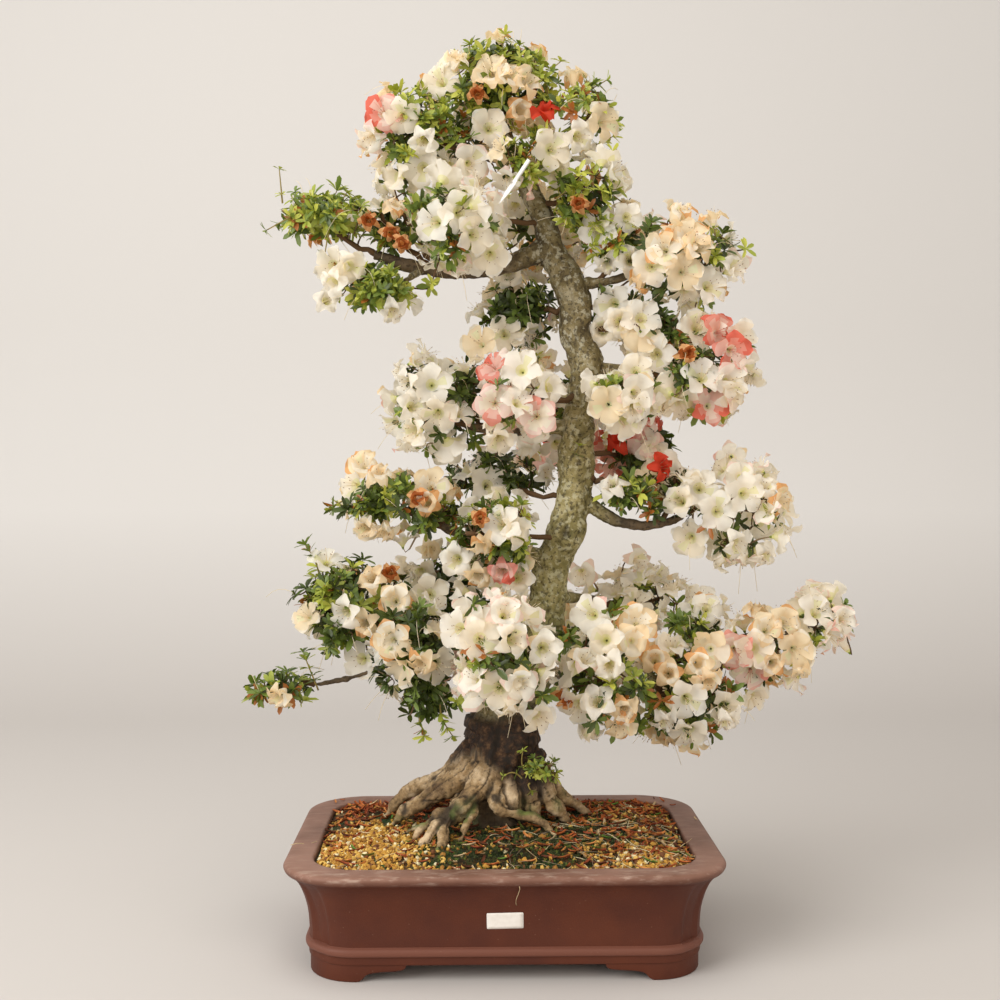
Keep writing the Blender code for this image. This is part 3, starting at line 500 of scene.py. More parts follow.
# boughs: parent, where on it, and in millimetres the tip, how far the middle rises or sags, and the
# two widths
boughs = {
    "upper_left": ("trunk", 0.922, (-172, 12, 908), -28, 28, 14),
    "upper_left_spur": ("upper_left", 0.72, (-130, -14, 868), 0, 8, 6),
    "right_upper": ("trunk", 0.872, (168, 6, 880), -4, 18, 9),
    "right_second": ("trunk", 0.757, (198, 0, 747), 3, 18, 9),
    "right_third": ("trunk", 0.592, (240, 0, 560), -28, 20, 9),
    "right_low": ("trunk", 0.392, (388, 6, 402), -30, 30, 8),
    "right_low_fork": ("right_low", 0.62, (300, -36, 384), 0, 11, 7),
    "right_low_front": ("right_low", 0.4, (202, -46, 334), 0, 14, 8),
    "front_right": ("trunk", 0.336, (100, -70, 350), 8, 22, 9),
    "left_low": ("trunk", 0.366, (-150, -10, 415), 4, 28, 9),
    "left_low_front": ("left_low", 0.45, (-90, -44, 376), 0, 12, 7),
    "left_low_long": ("left_low", 0.64, (-250, -36, 340), -12, 10, 5),
    "front_low": ("trunk", 0.31, (0, -122, 360), 6, 20, 9),
    "left_third": ("trunk", 0.5, (-82, 0, 545), -4, 22, 10),
    "left_second": ("trunk", 0.684, (-50, 10, 680), -10, 20, 10),
    "left_back": ("trunk", 0.41, (-62, 80, 430), 4, 20, 9),
    "right_back": ("trunk", 0.446, (142, 92, 436), 4, 20, 9),
    "back_low": ("trunk", 0.384, (56, 118, 378), 6, 22, 10),
    "back_mid": ("trunk", 0.664, (94, 104, 685), 2, 18, 9),
}
boughShape = {"wander": 0.02, "collarSwell": 0.25, "collarLength": 0.03, "steps": 28}
paths = {}


def trunkPath():
    curve = smoothThrough(np.array(trunkShape["stations"]) / 1000, trunkShape["steps"])
    sway = trunkShape["sway"] * np.sin(9.0 * (curve[:, 0] - ground))
    points = np.column_stack([curve[:, 1], trunkShape["back"] + sway, curve[:, 0]])
    return points, curve[:, 2] / 2


def rootPath(tipX, tipY, baseWidth, tipWidth):
    foot = np.array([*paths["trunk"][0][0][:2], ground])
    across = np.array([tipX, tipY, ground]) - foot
    sideways = np.array([-across[1], across[0], 0.0]) / np.linalg.norm(across)
    t = np.linspace(0.0, 1.0, rootShape["steps"][0])
    bend = rootShape["bend"] * np.sin(5.0 * t + 40.0 * tipX) * smoothStep(t, 0.1, 0.5)
    points = foot + across * t[:, None] + sideways * bend[:, None]
    points[:, 2] += rootShape["rise"] * (1.0 - t) ** rootShape["riseCurve"] - 1.0 * mm
    return points, (baseWidth + (tipWidth - baseWidth) * t) / 2


def laidRoot(stations):
    rows = [(*photoPlace(px, py, depth * mm), width * mm / 2) for px, py, depth, width in stations]
    rows = smoothThrough(rows, rootShape["steps"][1])
    t = np.linspace(0.0, 1.0, len(rows))
    knuckles = 1.0 + rootShape["knuckles"] * np.sin(19.0 * t + stations[0][0]) * smoothStep(t, 0.1, 0.4)
    return rows[:, :3], rows[:, 3] * knuckles


def placeOn(path, at, isTrunk):
    points = path[0]
    ruler = points[:, 2] if isTrunk else np.linspace(0.0, 1.0, len(points))
    return np.array([np.interp(at, ruler, points[:, k]) for k in range(3)])


def boughPath(parent, at, tip, sag, base, end):
    start = placeOn(paths[parent], at, parent == "trunk")
    tip = np.array(tip) / 1000
    sag, base, end = sag / 1000, base / 1000, end / 1000
    sideways = np.cross(tip - start, (0, 0, 1.0))
    sideways /= np.linalg.norm(sideways)
    length = np.linalg.norm(tip - start)
    t = np.linspace(0.0, 1.0, boughShape["steps"])
    wander = boughShape["wander"] * length * np.sin(2 * math.pi * t + 60.0 * at) * 4 * t * (1 - t)
    points = start + (tip - start) * t[:, None] + sideways * wander[:, None]
    points[:, 2] += 4.0 * sag * t * (1.0 - t)
    collar = 1.0 + boughShape["collarSwell"] * np.exp(-t * length / boughShape["collarLength"])
    return points, (base + (end - base) * t**0.8) / 2 * collar


def layLimbs():
    paths["trunk"] = trunkPath()
    for i, tip in enumerate(rootShape["tips"]):
        paths[f"root_{i}"] = rootPath(*(part / 1000 for part in tip))
    for i, stations in enumerate(rootShape["laid"]):
        paths[f"root_front_{i}"] = laidRoot(stations)
    for name, row in boughs.items():
        paths[name] = boughPath(*row)


def framesAlong(points):
    # a direction and two sides at each point, turned as little as possible
    tangents = unitRows(np.gradient(points, axis=0))
    side = np.cross(tangents[0], (0.3, 1.0, 0.2))
    sides = []
    for tangent in tangents:
        side = side - tangent * side.dot(tangent)
        side /= np.linalg.norm(side)
        sides.append(side)
    sides = np.array(sides)
    return tangents, sides, np.cross(tangents, sides)


def growTube(bm, path, sides):
    # a circle carried along the path, its edge extruded and transformed at each step
    points, radii = path
    tangents, first, second = framesAlong(points)
    stands = []
    for point, radius, *axes in zip(points, radii, first, second, tangents):
        turn = Matrix([list(axis) for axis in axes]).transposed().to_4x4()
        stands.append(Matrix.Translation(point) @ turn @ Matrix.Diagonal((radius, radius, radius, 1.0)))
    circle = bmesh.ops.create_circle(bm, segments=sides, radius=1.0, matrix=stands[0])["verts"]
    edges = list(dict.fromkeys(edge for vert in circle for edge in vert.link_edges))
    bmesh.ops.edgeloop_fill(bm, edges=edges)
    for before, after in zip(stands, stands[1:]):
        verts, edges = extruded(bm, edges)
        bmesh.ops.transform(bm, matrix=after @ before.inverted(), verts=verts)
    bmesh.ops.edgeloop_fill(bm, edges=edges)


# Bark: relief in the mesh, and the tones that go with it as attributes

barkShape = {
    "voxel": 2.15 * mm,
    "sides": (28, 14),  # of the trunk's tube and of the others
    "block": 4000,  # points that are worked out at a time
    "lump": 0.17,  # of the limb's radius
    "furrow": (0.8 * mm, 0.5 * mm),  # at the foot and above
    "knob": (1.6, 1.5),  # mm, and what the washed roots add to it
    # mm; a crease is the groove where two limbs meet
    "depth": {"crack": 1.6, "flake": 1.8, "crease": 2.6, "wrinkle": 0.55, "fineCrack": 0.9},
    # the size of each pattern
    "size": {
        "lump": 0.036, "knob": 0.013, "furrow": 0.011, "crack": 0.019, "flake": 0.010,
        "wrinkle": 0.012, "fineCrack": 0.012, "edge": 0.05, "moss": 0.028,
    },
    "creaseReach": (0.5 * mm, 6.0 * mm),  # how far off the next limb is where it is full and where it ends
    "washed": (0.250, 0.320),  # heights between which the washed wood ends
    "flaky": (0.185, 0.215, 0.275, 0.330),  # heights between which the bark is dark and flaky
    "flakyEdge": 0.018,
    "flakyTilt": (0.034, 0.030),  # the washed wood reaches higher on the left, over this width to each side
    # shares of a pruning wound's radius: width and height of its rim, width and depth of its pit
    "knot": (0.38, 0.30, 0.55, 0.50),
    # pixels of the old pruning wounds on the trunk, and the radius of each in millimetres
    "knots": (
        (561, 260, 5.0), (583, 391, 6.0), (579, 436, 5.0), (577, 463, 5.5), (563, 474, 4.5),
        (571, 508, 4.5), (564, 533, 10.0), (547, 534, 7.0), (559, 576, 5.0), (562, 232, 4.5),
        (586, 320, 5.0), (548, 610, 6.0),
    ),
}


def nearestOnLimbs(points):
    # for each point: its limb and the kind of that, how far along it lies, the limb's radius there, its two
    # offsets, and how far off the next limb is
    starts, alongs, radii, reaches, turns, owners = [], [], [], [], [], []
    for number, (name, (line, widths)) in enumerate(paths.items()):
        step = 3 if name == "trunk" else 2
        keep = np.unique(np.append(np.arange(0, len(line), step), len(line) - 1))
        line, widths = line[keep], widths[keep]
        _, first, second = framesAlong(line)
        pieces = line[1:] - line[:-1]
        run = np.concatenate([[0.0], np.cumsum(np.linalg.norm(pieces, axis=1))])
        starts.append(line[:-1])
        alongs.append(pieces)
        radii.append(np.column_stack([widths[:-1], widths[1:]]))
        reaches.append(np.column_stack([run[:-1], run[1:]]))
        turns.append(np.stack([first[:-1], first[1:], second[:-1], second[1:]], axis=1))
        kind = 0 if name == "trunk" else 1 if name.startswith("root") else 2
        owners.append(np.column_stack([np.full(len(pieces), number), np.full(len(pieces), kind)]))
    starts, alongs, radii, reaches, turns, owners = map(
        np.concatenate, (starts, alongs, radii, reaches, turns, owners))
    lengths = (alongs**2).sum(1)
    found = []
    for low in range(0, len(points), barkShape["block"]):
        block = points[low : low + barkShape["block"]]
        away = block[:, None, :] - starts[None]
        share = np.clip((away * alongs).sum(2) / lengths, 0.0, 1.0)
        gap = away - share[:, :, None] * alongs[None]
        radius = radii[:, 0] + share * (radii[:, 1] - radii[:, 0])
        reach = np.linalg.norm(gap, axis=2) - radius
        best = reach.argmin(1)
        rows = np.arange(len(block))
        second = np.where(owners[None, :, 0] == owners[best, 0][:, None], 1.0, reach).min(1)
        s = share[rows, best][:, None]
        offset = gap[rows, best]
        turn = turns[best]
        side = turn[:, 0] * (1 - s) + turn[:, 1] * s
        other = turn[:, 2] * (1 - s) + turn[:, 3] * s
        run = reaches[best, 0] + s[:, 0] * (reaches[best, 1] - reaches[best, 0])
        found.append(np.column_stack([owners[best], run, radius[rows, best],
                                      (offset * side).sum(1), (offset * other).sum(1), second]))
    return np.concatenate(found)


def noiseRow(points, size, offset=0.0, octaves=3):
    scale = 1.0 / size
    shift = Vector((offset, offset * 0.7, -offset))
    return np.array([noise.fractal(Vector(p) * scale + shift, 0.9, 2.1, octaves) for p in points])


def ridgeRow(points, size, offset=0.0):
    scale = 1.0 / size
    shift = Vector((offset, -offset, offset * 0.3))
    return np.array([1.0 - 2.0 * abs(noise.noise(Vector(p) * scale + shift)) for p in points])


def azaleaBark():
    # thin hard bark, nearly smooth: olive-grey with pale lichen on the old trunk, tan on the
    # washed roots, dark brown and flaking above them and on the boughs
    material, shader, add, where = patterned("azalea_bark", 0.82)
    hollowShade, flaky, rooty, young, mossy = (
        add("Attribute", attribute_name=name).outputs["Fac"]
        for name in ("hollowShade", "flaky", "rooty", "young", "mossy")
    )
    patch = add("TexNoise", {"Vector": where, "Scale": 1 / 0.034, "Detail": 8.0, "Roughness": 0.70})
    speck = add("TexNoise", {"Vector": where, "Scale": 1 / 0.0095, "Detail": 5.0, "Roughness": 0.62})
    scale = add("TexNoise", {"Vector": where, "Scale": 1 / 0.010, "Detail": 5.0, "Roughness": 0.7})
    pit = add("TexNoise", {"Vector": where, "Scale": 1 / 0.0044, "Detail": 3.0})
    old = add("ValToRGB", {"Fac": patch},
                  stops=((0.37, "#443B20"), (0.46, "#786B43"), (0.55, "#998B60"), (0.64, "#BEB493")))
    lichen = add("MapRange", {"Value": speck, "From Min": 0.52, "From Max": 0.59, "To Max": 0.85})
    old = add("MixRGB", {"Fac": lichen, "Color1": old, "Color2": "#CCC8AE"})
    # greener low down, darker and browner towards the top: painted shade
    high = add("SeparateXYZ", {"Vector": where})
    shadeHeight = add("MapRange", {"Value": high.outputs["Z"], "From Min": 0.30, "From Max": 1.00})
    shade = add("ValToRGB", {"Fac": shadeHeight}, stops=((0.0, "#979A5C"), (0.48, "#8F8552"), (0.70, "#3C2E17")))
    old = add("MixRGB", {"Fac": 0.44, "Color1": old, "Color2": shade})
    root = add("ValToRGB", {"Fac": patch}, stops=((0.36, "#604A30"), (0.50, "#9E835C"), (0.64, "#CDB694")))
    flake = add("ValToRGB", {"Fac": scale}, stops=((0.40, "#1E130A"), (0.54, "#3B2615"), (0.68, "#6B4E31")))
    shoot = add("ValToRGB", {"Fac": patch}, stops=((0.35, "#3E3020"), (0.65, "#6D5B42")))
    moss = add("ValToRGB", {"Fac": speck}, stops=((0.35, "#2E3C16"), (0.65, "#5F7430")))
    # fewer dark pits on the washed roots
    pitted = add("MapRange", {"Value": rooty, "To Min": 0.7, "To Max": 0.2})
    dark = add("MapRange", {"Value": pit, "From Min": 0.46, "From Max": 0.37, "To Max": pitted})
    # the hollows' tone is painted shade in cracks, creases, deep furrows, knot pits and at the trunk's foot
    # by the soil
    pits = ((dark, "#302717"), (hollowShade, "#21180E"))
    tone = old
    for share, layer in ((rooty, root), (young, shoot), (flaky, flake), *pits, (mossy, moss)):
        tone = add("MixRGB", {"Fac": share, "Color1": tone, "Color2": layer})
    grain = add("MixRGB", {"Fac": 0.5, "Color1": speck, "Color2": pit})
    relief = add("Bump", {"Height": grain, "Strength": 0.7, "Distance": 1.2 * mm})
    feed(shader, {"Base Color": tone, "Normal": relief})
    return material


def fusedWood():
    # one skin round all the limbs, cut flat a little under the soil
    bm = bmesh.new()
    trunkSides, otherSides = barkShape["sides"]
    for name, path in paths.items():
        growTube(bm, path, trunkSides if name == "trunk" else otherSides)
    bmesh.ops.recalc_face_normals(bm, faces=bm.faces[:])
    mesh = applied(meshFrom(bm, "wood"), "wood", "REMESH", mode="VOXEL", voxel_size=barkShape["voxel"])
    bm = bmesh.new()
    bm.from_mesh(mesh)
    bmesh.ops.smooth_vert(bm, verts=bm.verts[:], factor=0.5, use_axis_x=True, use_axis_y=True,
                          use_axis_z=True)
    under = bmesh.ops.bisect_plane(bm, geom=bm.verts[:] + bm.edges[:] + bm.faces[:], dist=1e-6,
                                   plane_co=(0, 0, ground - 0.005), plane_no=(0, 0, 1), clear_inner=True)
    rim = [part for part in under["geom_cut"] if isinstance(part, bmesh.types.BMEdge)]
    bmesh.ops.holes_fill(bm, edges=rim, sides=0)
    bm.normal_update()
    bm.to_mesh(mesh)
    bm.free()
    say("wood fused")
    return mesh


def barkRelief(points, normals):
    # how far each point moves along its normal, and what the bark looks like there
    owner, kind, run, radius, sideways, across, second = nearestOnLimbs(points).T
    say("bark placed")
    size, depth = barkShape["size"], barkShape["depth"]
    height = points[:, 2]
    own = owner[:, None] * 3.7 * 0.1  # each limb has its own part of the pattern
    # the grain runs along each limb: offsets across it count in full, the way along it less
    grainPlace = np.column_stack([sideways, across, run / 5.0]) + own
    lumpPlace = np.column_stack([sideways, across, run]) + own

    isRoot = (kind == 1).astype(float)
    rooty = np.clip(isRoot + (1.0 - smoothStep(height, *barkShape["washed"])), 0.0, 1.0) * (kind != 2)
    low, lowFull, highFull, high = barkShape["flaky"]
    edge = barkShape["flakyEdge"] * noiseRow(points, size["edge"], 4.0, 2)
    rise, width = barkShape["flakyTilt"]
    tilt = rise * smoothStep(-points[:, 0], -width, width)
    flaky = smoothStep(height + edge - tilt, low, lowFull)
    flaky *= (1.0 - smoothStep(height + edge, highFull, high)) * (kind != 2)
    young = (kind == 2) * smoothStep(run, 0.02, 0.09)

    thick = np.clip(radius, 0.006, 0.04)
    lumps = noiseRow(lumpPlace, size["lump"], 1.0, 3) * barkShape["lump"] * thick * (1.0 + 0.6 * rooty)
    knob, rootKnob = barkShape["knob"]
    knobs = noiseRow(lumpPlace, size["knob"], 7.0, 2) * (knob + rootKnob * rooty) * mm
    atFoot, above = barkShape["furrow"]
    ridge = ridgeRow(grainPlace, size["furrow"], 2.0)
    furrows = (np.clip(ridge, -1.0, 1.0) - 0.4) * (above + (atFoot - above) * rooty)
    crack = smoothStep(ridgeRow(grainPlace, size["crack"], 9.0), 0.86, 0.98)
    flakes = ridgeRow(points * (1.0, 1.0, 0.7), size["flake"], 5.0) * depth["flake"] * mm * flaky
    crease = (1.0 - smoothStep(second, *barkShape["creaseReach"])) * (0.3 + 0.7 * isRoot)
    crease *= 1.0 - smoothStep(height, 0.195, 0.225) * (kind != 2)
    wrinkle = ridgeRow(lumpPlace * (0.5, 0.5, 1.0), size["wrinkle"], 3.0) * depth["wrinkle"] * mm
    fineCrack = smoothStep(ridgeRow(lumpPlace, size["fineCrack"], 21.0), 0.90, 0.99) * rooty
    move = lumps + knobs + furrows - crack * depth["crack"] * mm * (0.25 + rooty) + flakes
    move += wrinkle - crease * depth["crease"] * mm - fineCrack * depth["fineCrack"] * mm

    # painted shade: darker in cracks, creases, deep furrows and knot pits, and on the trunk's foot among
    # the roots
    soil = (kind == 0) * (1.0 - smoothStep(height, ground + 0.006, ground + 0.045))
    deep = smoothStep(-furrows, 0.9 * mm, 1.9 * mm)
    hollowShade = crack * (0.35 + 0.65 * rooty) * 0.9
    for part in (crease * 0.9, fineCrack * 0.7, soil * 0.85, deep * 0.7):
        hollowShade = np.maximum(hollowShade, part)
    line, widths = paths["trunk"]
    rimWide, rimHigh, pitWide, pitDeep = barkShape["knot"]
    for px, py, ring in barkShape["knots"]:
        front = np.array(photoPlace(px, py, trunkShape["back"]))
        front[1] = np.interp(front[2], line[:, 2], line[:, 1] - widths)
        distance = np.linalg.norm((points - front) * (1.0, 0.6, 0.85), axis=1)
        wide = ring * mm
        pitted = np.exp(-((distance / (pitWide * wide)) ** 2))
        move += np.exp(-(((distance - wide) / (rimWide * wide)) ** 2)) * rimHigh * wide
        move -= pitted * pitDeep * wide
        # painted shade in the pit of each old wound
        hollowShade = np.maximum(hollowShade, pitted * 0.8)
    top = smoothStep(normals[:, 2], 0.0, 0.6)
    mossPatch = smoothStep(noiseRow(points, size["moss"], 12.0, 2), 0.10, 0.38)
    mossy = rooty * smoothStep(0.200 - height, 0.0, 0.035) * mossPatch * (0.35 + 0.65 * top) * 0.8
    return move, {"hollowShade": hollowShade, "flaky": flaky, "rooty": rooty, "young": young, "mossy": mossy}


def buildWood():
    mesh = fusedWood()
    points, normals = np.empty((2, len(mesh.vertices) * 3))
    mesh.vertices.foreach_get("co", points)
    mesh.vertices.foreach_get("normal", normals)
    points, normals = points.reshape(-1, 3), normals.reshape(-1, 3)
    move, looks = barkRelief(points, normals)
    mesh.vertices.foreach_set("co", (points + normals * move[:, None]).ravel())
    for name, row in looks.items():
        mesh.attributes.new(name, "FLOAT", "POINT").data.foreach_set("value", np.clip(row, 0.0, 1.0))
    replaced = ["trunk"] + [f"bough_{name}" for name in boughs]
    return settle(mesh, "trunk_and_boughs", [azaleaBark()], replaced)


# Many small copies joined into one mesh


def newHeap():
    return {"points": [], "corners": [], "tones": [], "count": 0}


def templateFrom(bm):
    # points, triangles and the zone of each triangle of a small shape, which is then cleared
    bmesh.ops.triangulate(bm, faces=bm.faces[:])
    zone = bm.faces.layers.int.get("zone")
    bm.verts.index_update()
    points = np.array([vert.co for vert in bm.verts])
    corners = np.array([[vert.index for vert in face.verts] for face in bm.faces])
    zones = np.array([face[zone] if zone else 0 for face in bm.faces])
    bm.free()
    return points, corners, zones


proud = (0.013, 0.009, 0.012)  # as far as petals may stand out of the CAD box


def heldIn(rows):
    # rows of points, each row moved as a whole until it keeps to the CAD box
    if len(rows) == 0:
        return rows
    low, high = np.array(cadBox) - potMiddle + np.outer((-1, 1), proud)
    inward = np.clip(low - rows.min(1), 0.0, None) - np.clip(rows.max(1) - high, 0.0, None)
    return rows + inward[:, None]


def putIn(heap, shapes, corners, tones):
    # shapes: (m, n, 3), the points of m shapes that share their triangles; tones: one a triangle
    m, n = shapes.shape[:2]
    offsets = heap["count"] + np.arange(m) * n
    heap["points"].append(shapes.reshape(-1, 3))
    heap["corners"].append((corners[None] + offsets[:, None, None]).reshape(-1, 3))
    heap["tones"].append(tones)
    heap["count"] += m * n


def addCopies(heap, template, frames, places, tones):
    # frames: (m, 3, 3) with the three axes as columns; tones: (m, zones) of material numbers
    points, corners, zones = template
    if len(places):
        moved = heldIn(np.einsum("mij,nj->mni", frames, points) + places[:, None, :])
        putIn(heap, moved, corners, tones[:, zones].ravel())


def addTubes(heap, lines, radii, sides, tones):
    # lines: (m, n, 3) points, radii: (m, n); each line becomes a closed tapering tube
    m, n = radii.shape
    if m == 0:
        return
    tangents = np.gradient(lines, axis=1)
    tangents /= np.linalg.norm(tangents, axis=2)[..., None] + 1e-12
    rough = np.where(np.abs(tangents[:, :1, 2:3]) > 0.8, (1.0, 0.0, 0.0), (0.0, 0.0, 1.0))
    first = np.cross(tangents, np.broadcast_to(rough, tangents.shape))
    first /= np.linalg.norm(first, axis=2)[..., None] + 1e-12
    second = np.cross(tangents, first)
    k = np.arange(sides)
    after = (k + 1) % sides
    angles = k * 2 * math.pi / sides
    around = np.cos(angles)[:, None] * first[:, :, None] + np.sin(angles)[:, None] * second[:, :, None]
    rings = lines[:, :, None] + around * radii[:, :, None, None]
    corners = []
    for row in range(n - 1):
        a, b = row * sides, (row + 1) * sides
        corners.append(np.column_stack([a + k, a + after, b + after]))
        corners.append(np.column_stack([a + k, b + after, b + k]))
    last = (n - 1) * sides
    for j in range(1, sides - 1):
        corners.append(np.array([[0, j + 1, j], [last, last + j, last + j + 1]]))
    corners = np.concatenate(corners)
    putIn(heap, rings.reshape(m, -1, 3), corners, np.repeat(tones, len(corners)))


def joinHeap(heap, name, materials, replaced=()):
    points = np.concatenate(heap["points"])
    corners = np.concatenate(heap["corners"])
    tones = np.concatenate(heap["tones"])
    used = np.unique(tones)
    mesh = bpy.data.meshes.new(name)
    mesh.vertices.add(len(points))
    mesh.vertices.foreach_set("co", points.ravel())
    mesh.loops.add(corners.size)
    mesh.loops.foreach_set("vertex_index", corners.ravel().astype(np.int32))
    mesh.polygons.add(len(corners))
    mesh.polygons.foreach_set("loop_start", np.arange(0, corners.size, 3, dtype=np.int32))
    mesh.update(calc_edges=True)
    piece = settle(mesh, name, [materials[i] for i in used], replaced)
    mesh.polygons.foreach_set("material_index", np.searchsorted(used, tones).astype(np.int32))
    mesh.update()
    return piece


def facingFrames(facings, turns, sizes):
    # frames whose third axis is the facing, turned about it
    facings = unitRows(facings)
    rough = np.where(np.abs(facings[:, 2:3]) > 0.9, (1.0, 0.0, 0.0), (0.0, 0.0, 1.0))
    side = unitRows(np.cross(rough, facings))
    other = np.cross(facings, side)
    u = side * np.cos(turns)[:, None] + other * np.sin(turns)[:, None]
    return np.stack([u, np.cross(facings, u), facings], axis=2) * np.asarray(sizes)[:, None, None]


# Blossom: five fused petals round a throat, in five states from open to withered

petalShape = {
    # share of the way out, distance from the axis, height and half width, all in mm
    "rows": (
        (0.00, 1.3, 0.0, 0.6), (0.16, 4.4, 5.0, 2.5), (0.32, 8.4, 9.8, 5.2), (0.50, 14.0, 13.6, 10.4),
        (0.68, 20.8, 15.6, 13.2), (0.85, 26.8, 15.2, 12.2), (1.00, 31.0, 13.4, 6.6),
    ),
    "roundTip": 0.15,
    "overlap": 2.8,
    "ruffle": 3.0,
}
# six zones on each of the five petals, then three more
petalZones = {
    "throat": 0, "halo": 1, "body": 2, "near": 3, "margin": 4, "blotch": 5,
    "calyx": 30, "stamen": 31, "anther": 32,
}
stamenShape = {
    "count": 6,  # the first is the style, which is longest and has no anther
    "style": 36.0,  # mm
    "long": (24, 31),
    "thick": (0.42, 0.30),
}


def petalPoint(s, t, state):
    # one point of a petal, s across it and t outwards, in a petal that points along +X
    shares, radii, heights, halves = zip(*petalShape["rows"])
    reach = t - petalShape["roundTip"] * s * s * smoothStep(t, 0.5, 1.0)
    radius = np.interp(reach, shares, radii)
    half = np.interp(t, shares, halves)
    lobed = smoothStep(t, 0.34, 0.56)
    # the funnel closes and the petals lift or fall back with the state of the flower
    spread = state["spread"]
    out = radius * (1.0 - (1.0 - spread) * smoothStep(t, 0.1, 0.6) * (1.0 - 0.5 * smoothStep(t, 0.7, 1.0)))
    height = np.interp(reach, shares, heights) + (radius - out) * 0.9
    height -= state["recurve"] * smoothStep(t, 0.6, 1.0) ** 1.5
    turn = s * 0.70  # a little more than a fifth of the way round, so that the petals close the tube
    x = out * math.cos(turn) * (1 - lobed) + out * lobed
    y = -out * math.sin(turn) * (1 - lobed) - s * half * (0.55 + 0.45 * spread) * lobed
    wave = math.sin(state["wave"] + 5.0 * s + 4.0 * t)
    wave += 0.5 * math.sin(state["wave"] * 2.3 - 9.0 * s + 7.0 * t)
    wave *= petalShape["ruffle"] * state["crumple"] * smoothStep(t, 0.45, 1.0) * (0.4 + 0.6 * abs(s))
    z = height + wave + lobed * (s * petalShape["overlap"] + 1.6 * s * s * state["cup"] + 1.7 * abs(s))
    return Vector((x, y, z)) * mm


def petalPart(petal, s, t):
    if t < 0.17:
        return "throat"
    if t < 0.34:
        return "halo"
    if t > 0.83:
        return "margin"
    if t > 0.67 or (abs(s) > 0.7 and t > 0.5):
        return "near"
    return "blotch" if petal == 0 and abs(s) < 0.6 else "body"


def flowerTemplate(state, rng, stamens):
    bm = bmesh.new()
    zone = bm.faces.layers.int.new("zone")
    for petal in range(5):
        own = dict(state)
        own["wave"] = rng.uniform(0, 6.28)
        own["spread"] = state["spread"] * (1.0 + state["loose"] * rng.uniform(-0.18, 0.06))
        own["recurve"] = state["recurve"] + state["loose"] * rng.uniform(-2.5, 4.5)
        own["cup"] = state["cup"] * rng.uniform(0.6, 1.4)
        grid = bmesh.ops.create_grid(bm, x_segments=4, y_segments=6, size=0.5)["verts"]
        for face in {face for vert in grid for face in vert.link_faces}:
            middle = face.calc_center_median()
            face[zone] = petal * 6 + petalZones[petalPart(petal, middle.x * 2, middle.y + 0.5)]
        for vert in grid:
            vert.co = petalPoint(vert.co.x * 2, vert.co.y + 0.5, own)
        turn = Matrix.Rotation(2 * math.pi * petal / 5 + rng.uniform(-0.04, 0.04), 3, "Z")
        bmesh.ops.rotate(bm, matrix=turn, verts=grid)
    calyx = bmesh.ops.create_cone(bm, segments=5, radius1=1.0 * mm, radius2=2.6 * mm, depth=4 * mm,
                                  matrix=Matrix.Translation((0, 0, -0.8 * mm)))["verts"]
    for face in {face for vert in calyx for face in vert.link_faces}:
        face[zone] = petalZones["calyx"]
    points, corners, zones = templateFrom(bm)
    if not stamens:
        return points, corners, zones
    heap = newHeap()
    count, thick = stamenShape["count"], stamenShape["thick"]
    t = np.linspace(0, 1, 4)
    lines = []
    for k in range(count):
        angle = 2 * math.pi * k / count + rng.uniform(-0.3, 0.3)
        long = rng.uniform(*stamenShape["long"]) if k else stamenShape["style"]
        out = rng.uniform(4.0, 9.0) if k else 6.0
        away = 1.2 + out * t**1.6
        lift = 3.5 * t**2 * state["spread"]
        rise = 5.0 + (long - 5.0) * t
        lines.append(np.column_stack([math.cos(angle) * away + lift, math.sin(angle) * away, rise]) * mm)
    lines = np.array(lines)
    radii = np.tile(np.linspace(*thick, 4) * mm, (count, 1))
    addTubes(heap, lines, radii, 3, np.full(count, petalZones["stamen"]))
    dot = bmesh.new()
    bmesh.ops.create_cone(dot, cap_ends=True, segments=4, radius1=0.6 * mm, radius2=0.4 * mm,
                          depth=1.9 * mm)
    frames = np.tile(np.eye(3), (count - 1, 1, 1))
    tones = np.full((count - 1, 1), petalZones["anther"])
    addCopies(heap, templateFrom(dot), frames, lines[1:, -1], tones)
    corners = [corners] + [part + len(points) for part in heap["corners"]]
    return tuple(map(np.concatenate, ([points] + heap["points"], corners, [zones] + heap["tones"])))


flowerStates = {
    # how far the petals spread, fall back, crumple, cup and differ, and how many versions are made
    "open": ({"spread": 1.0, "recurve": 0.5, "crumple": 1.0, "cup": 1.0, "loose": 1.0}, 6),
    "flat": ({"spread": 1.06, "recurve": 4.5, "crumple": 1.2, "cup": 0.5, "loose": 1.0}, 3),
    "funnel": ({"spread": 0.74, "recurve": 3.0, "crumple": 1.1, "cup": 1.0, "loose": 1.3}, 5),
    "half": ({"spread": 0.52, "recurve": 3.0, "crumple": 1.4, "cup": 1.4, "loose": 1.8}, 4),
    "withered": ({"spread": 0.40, "recurve": 4.0, "crumple": 3.6, "cup": 2.2, "loose": 4.2}, 5),
}


leafShape = {
    "length": 20.0,  # mm
    "along": (0.0, 0.42, 0.80, 1.0),  # where the blade's steps are, and its half widths there
    "halves": (0.14, 0.92, 0.86, 0.06),
    "fold": 0.30,  # how much the halves rise from the midrib
}


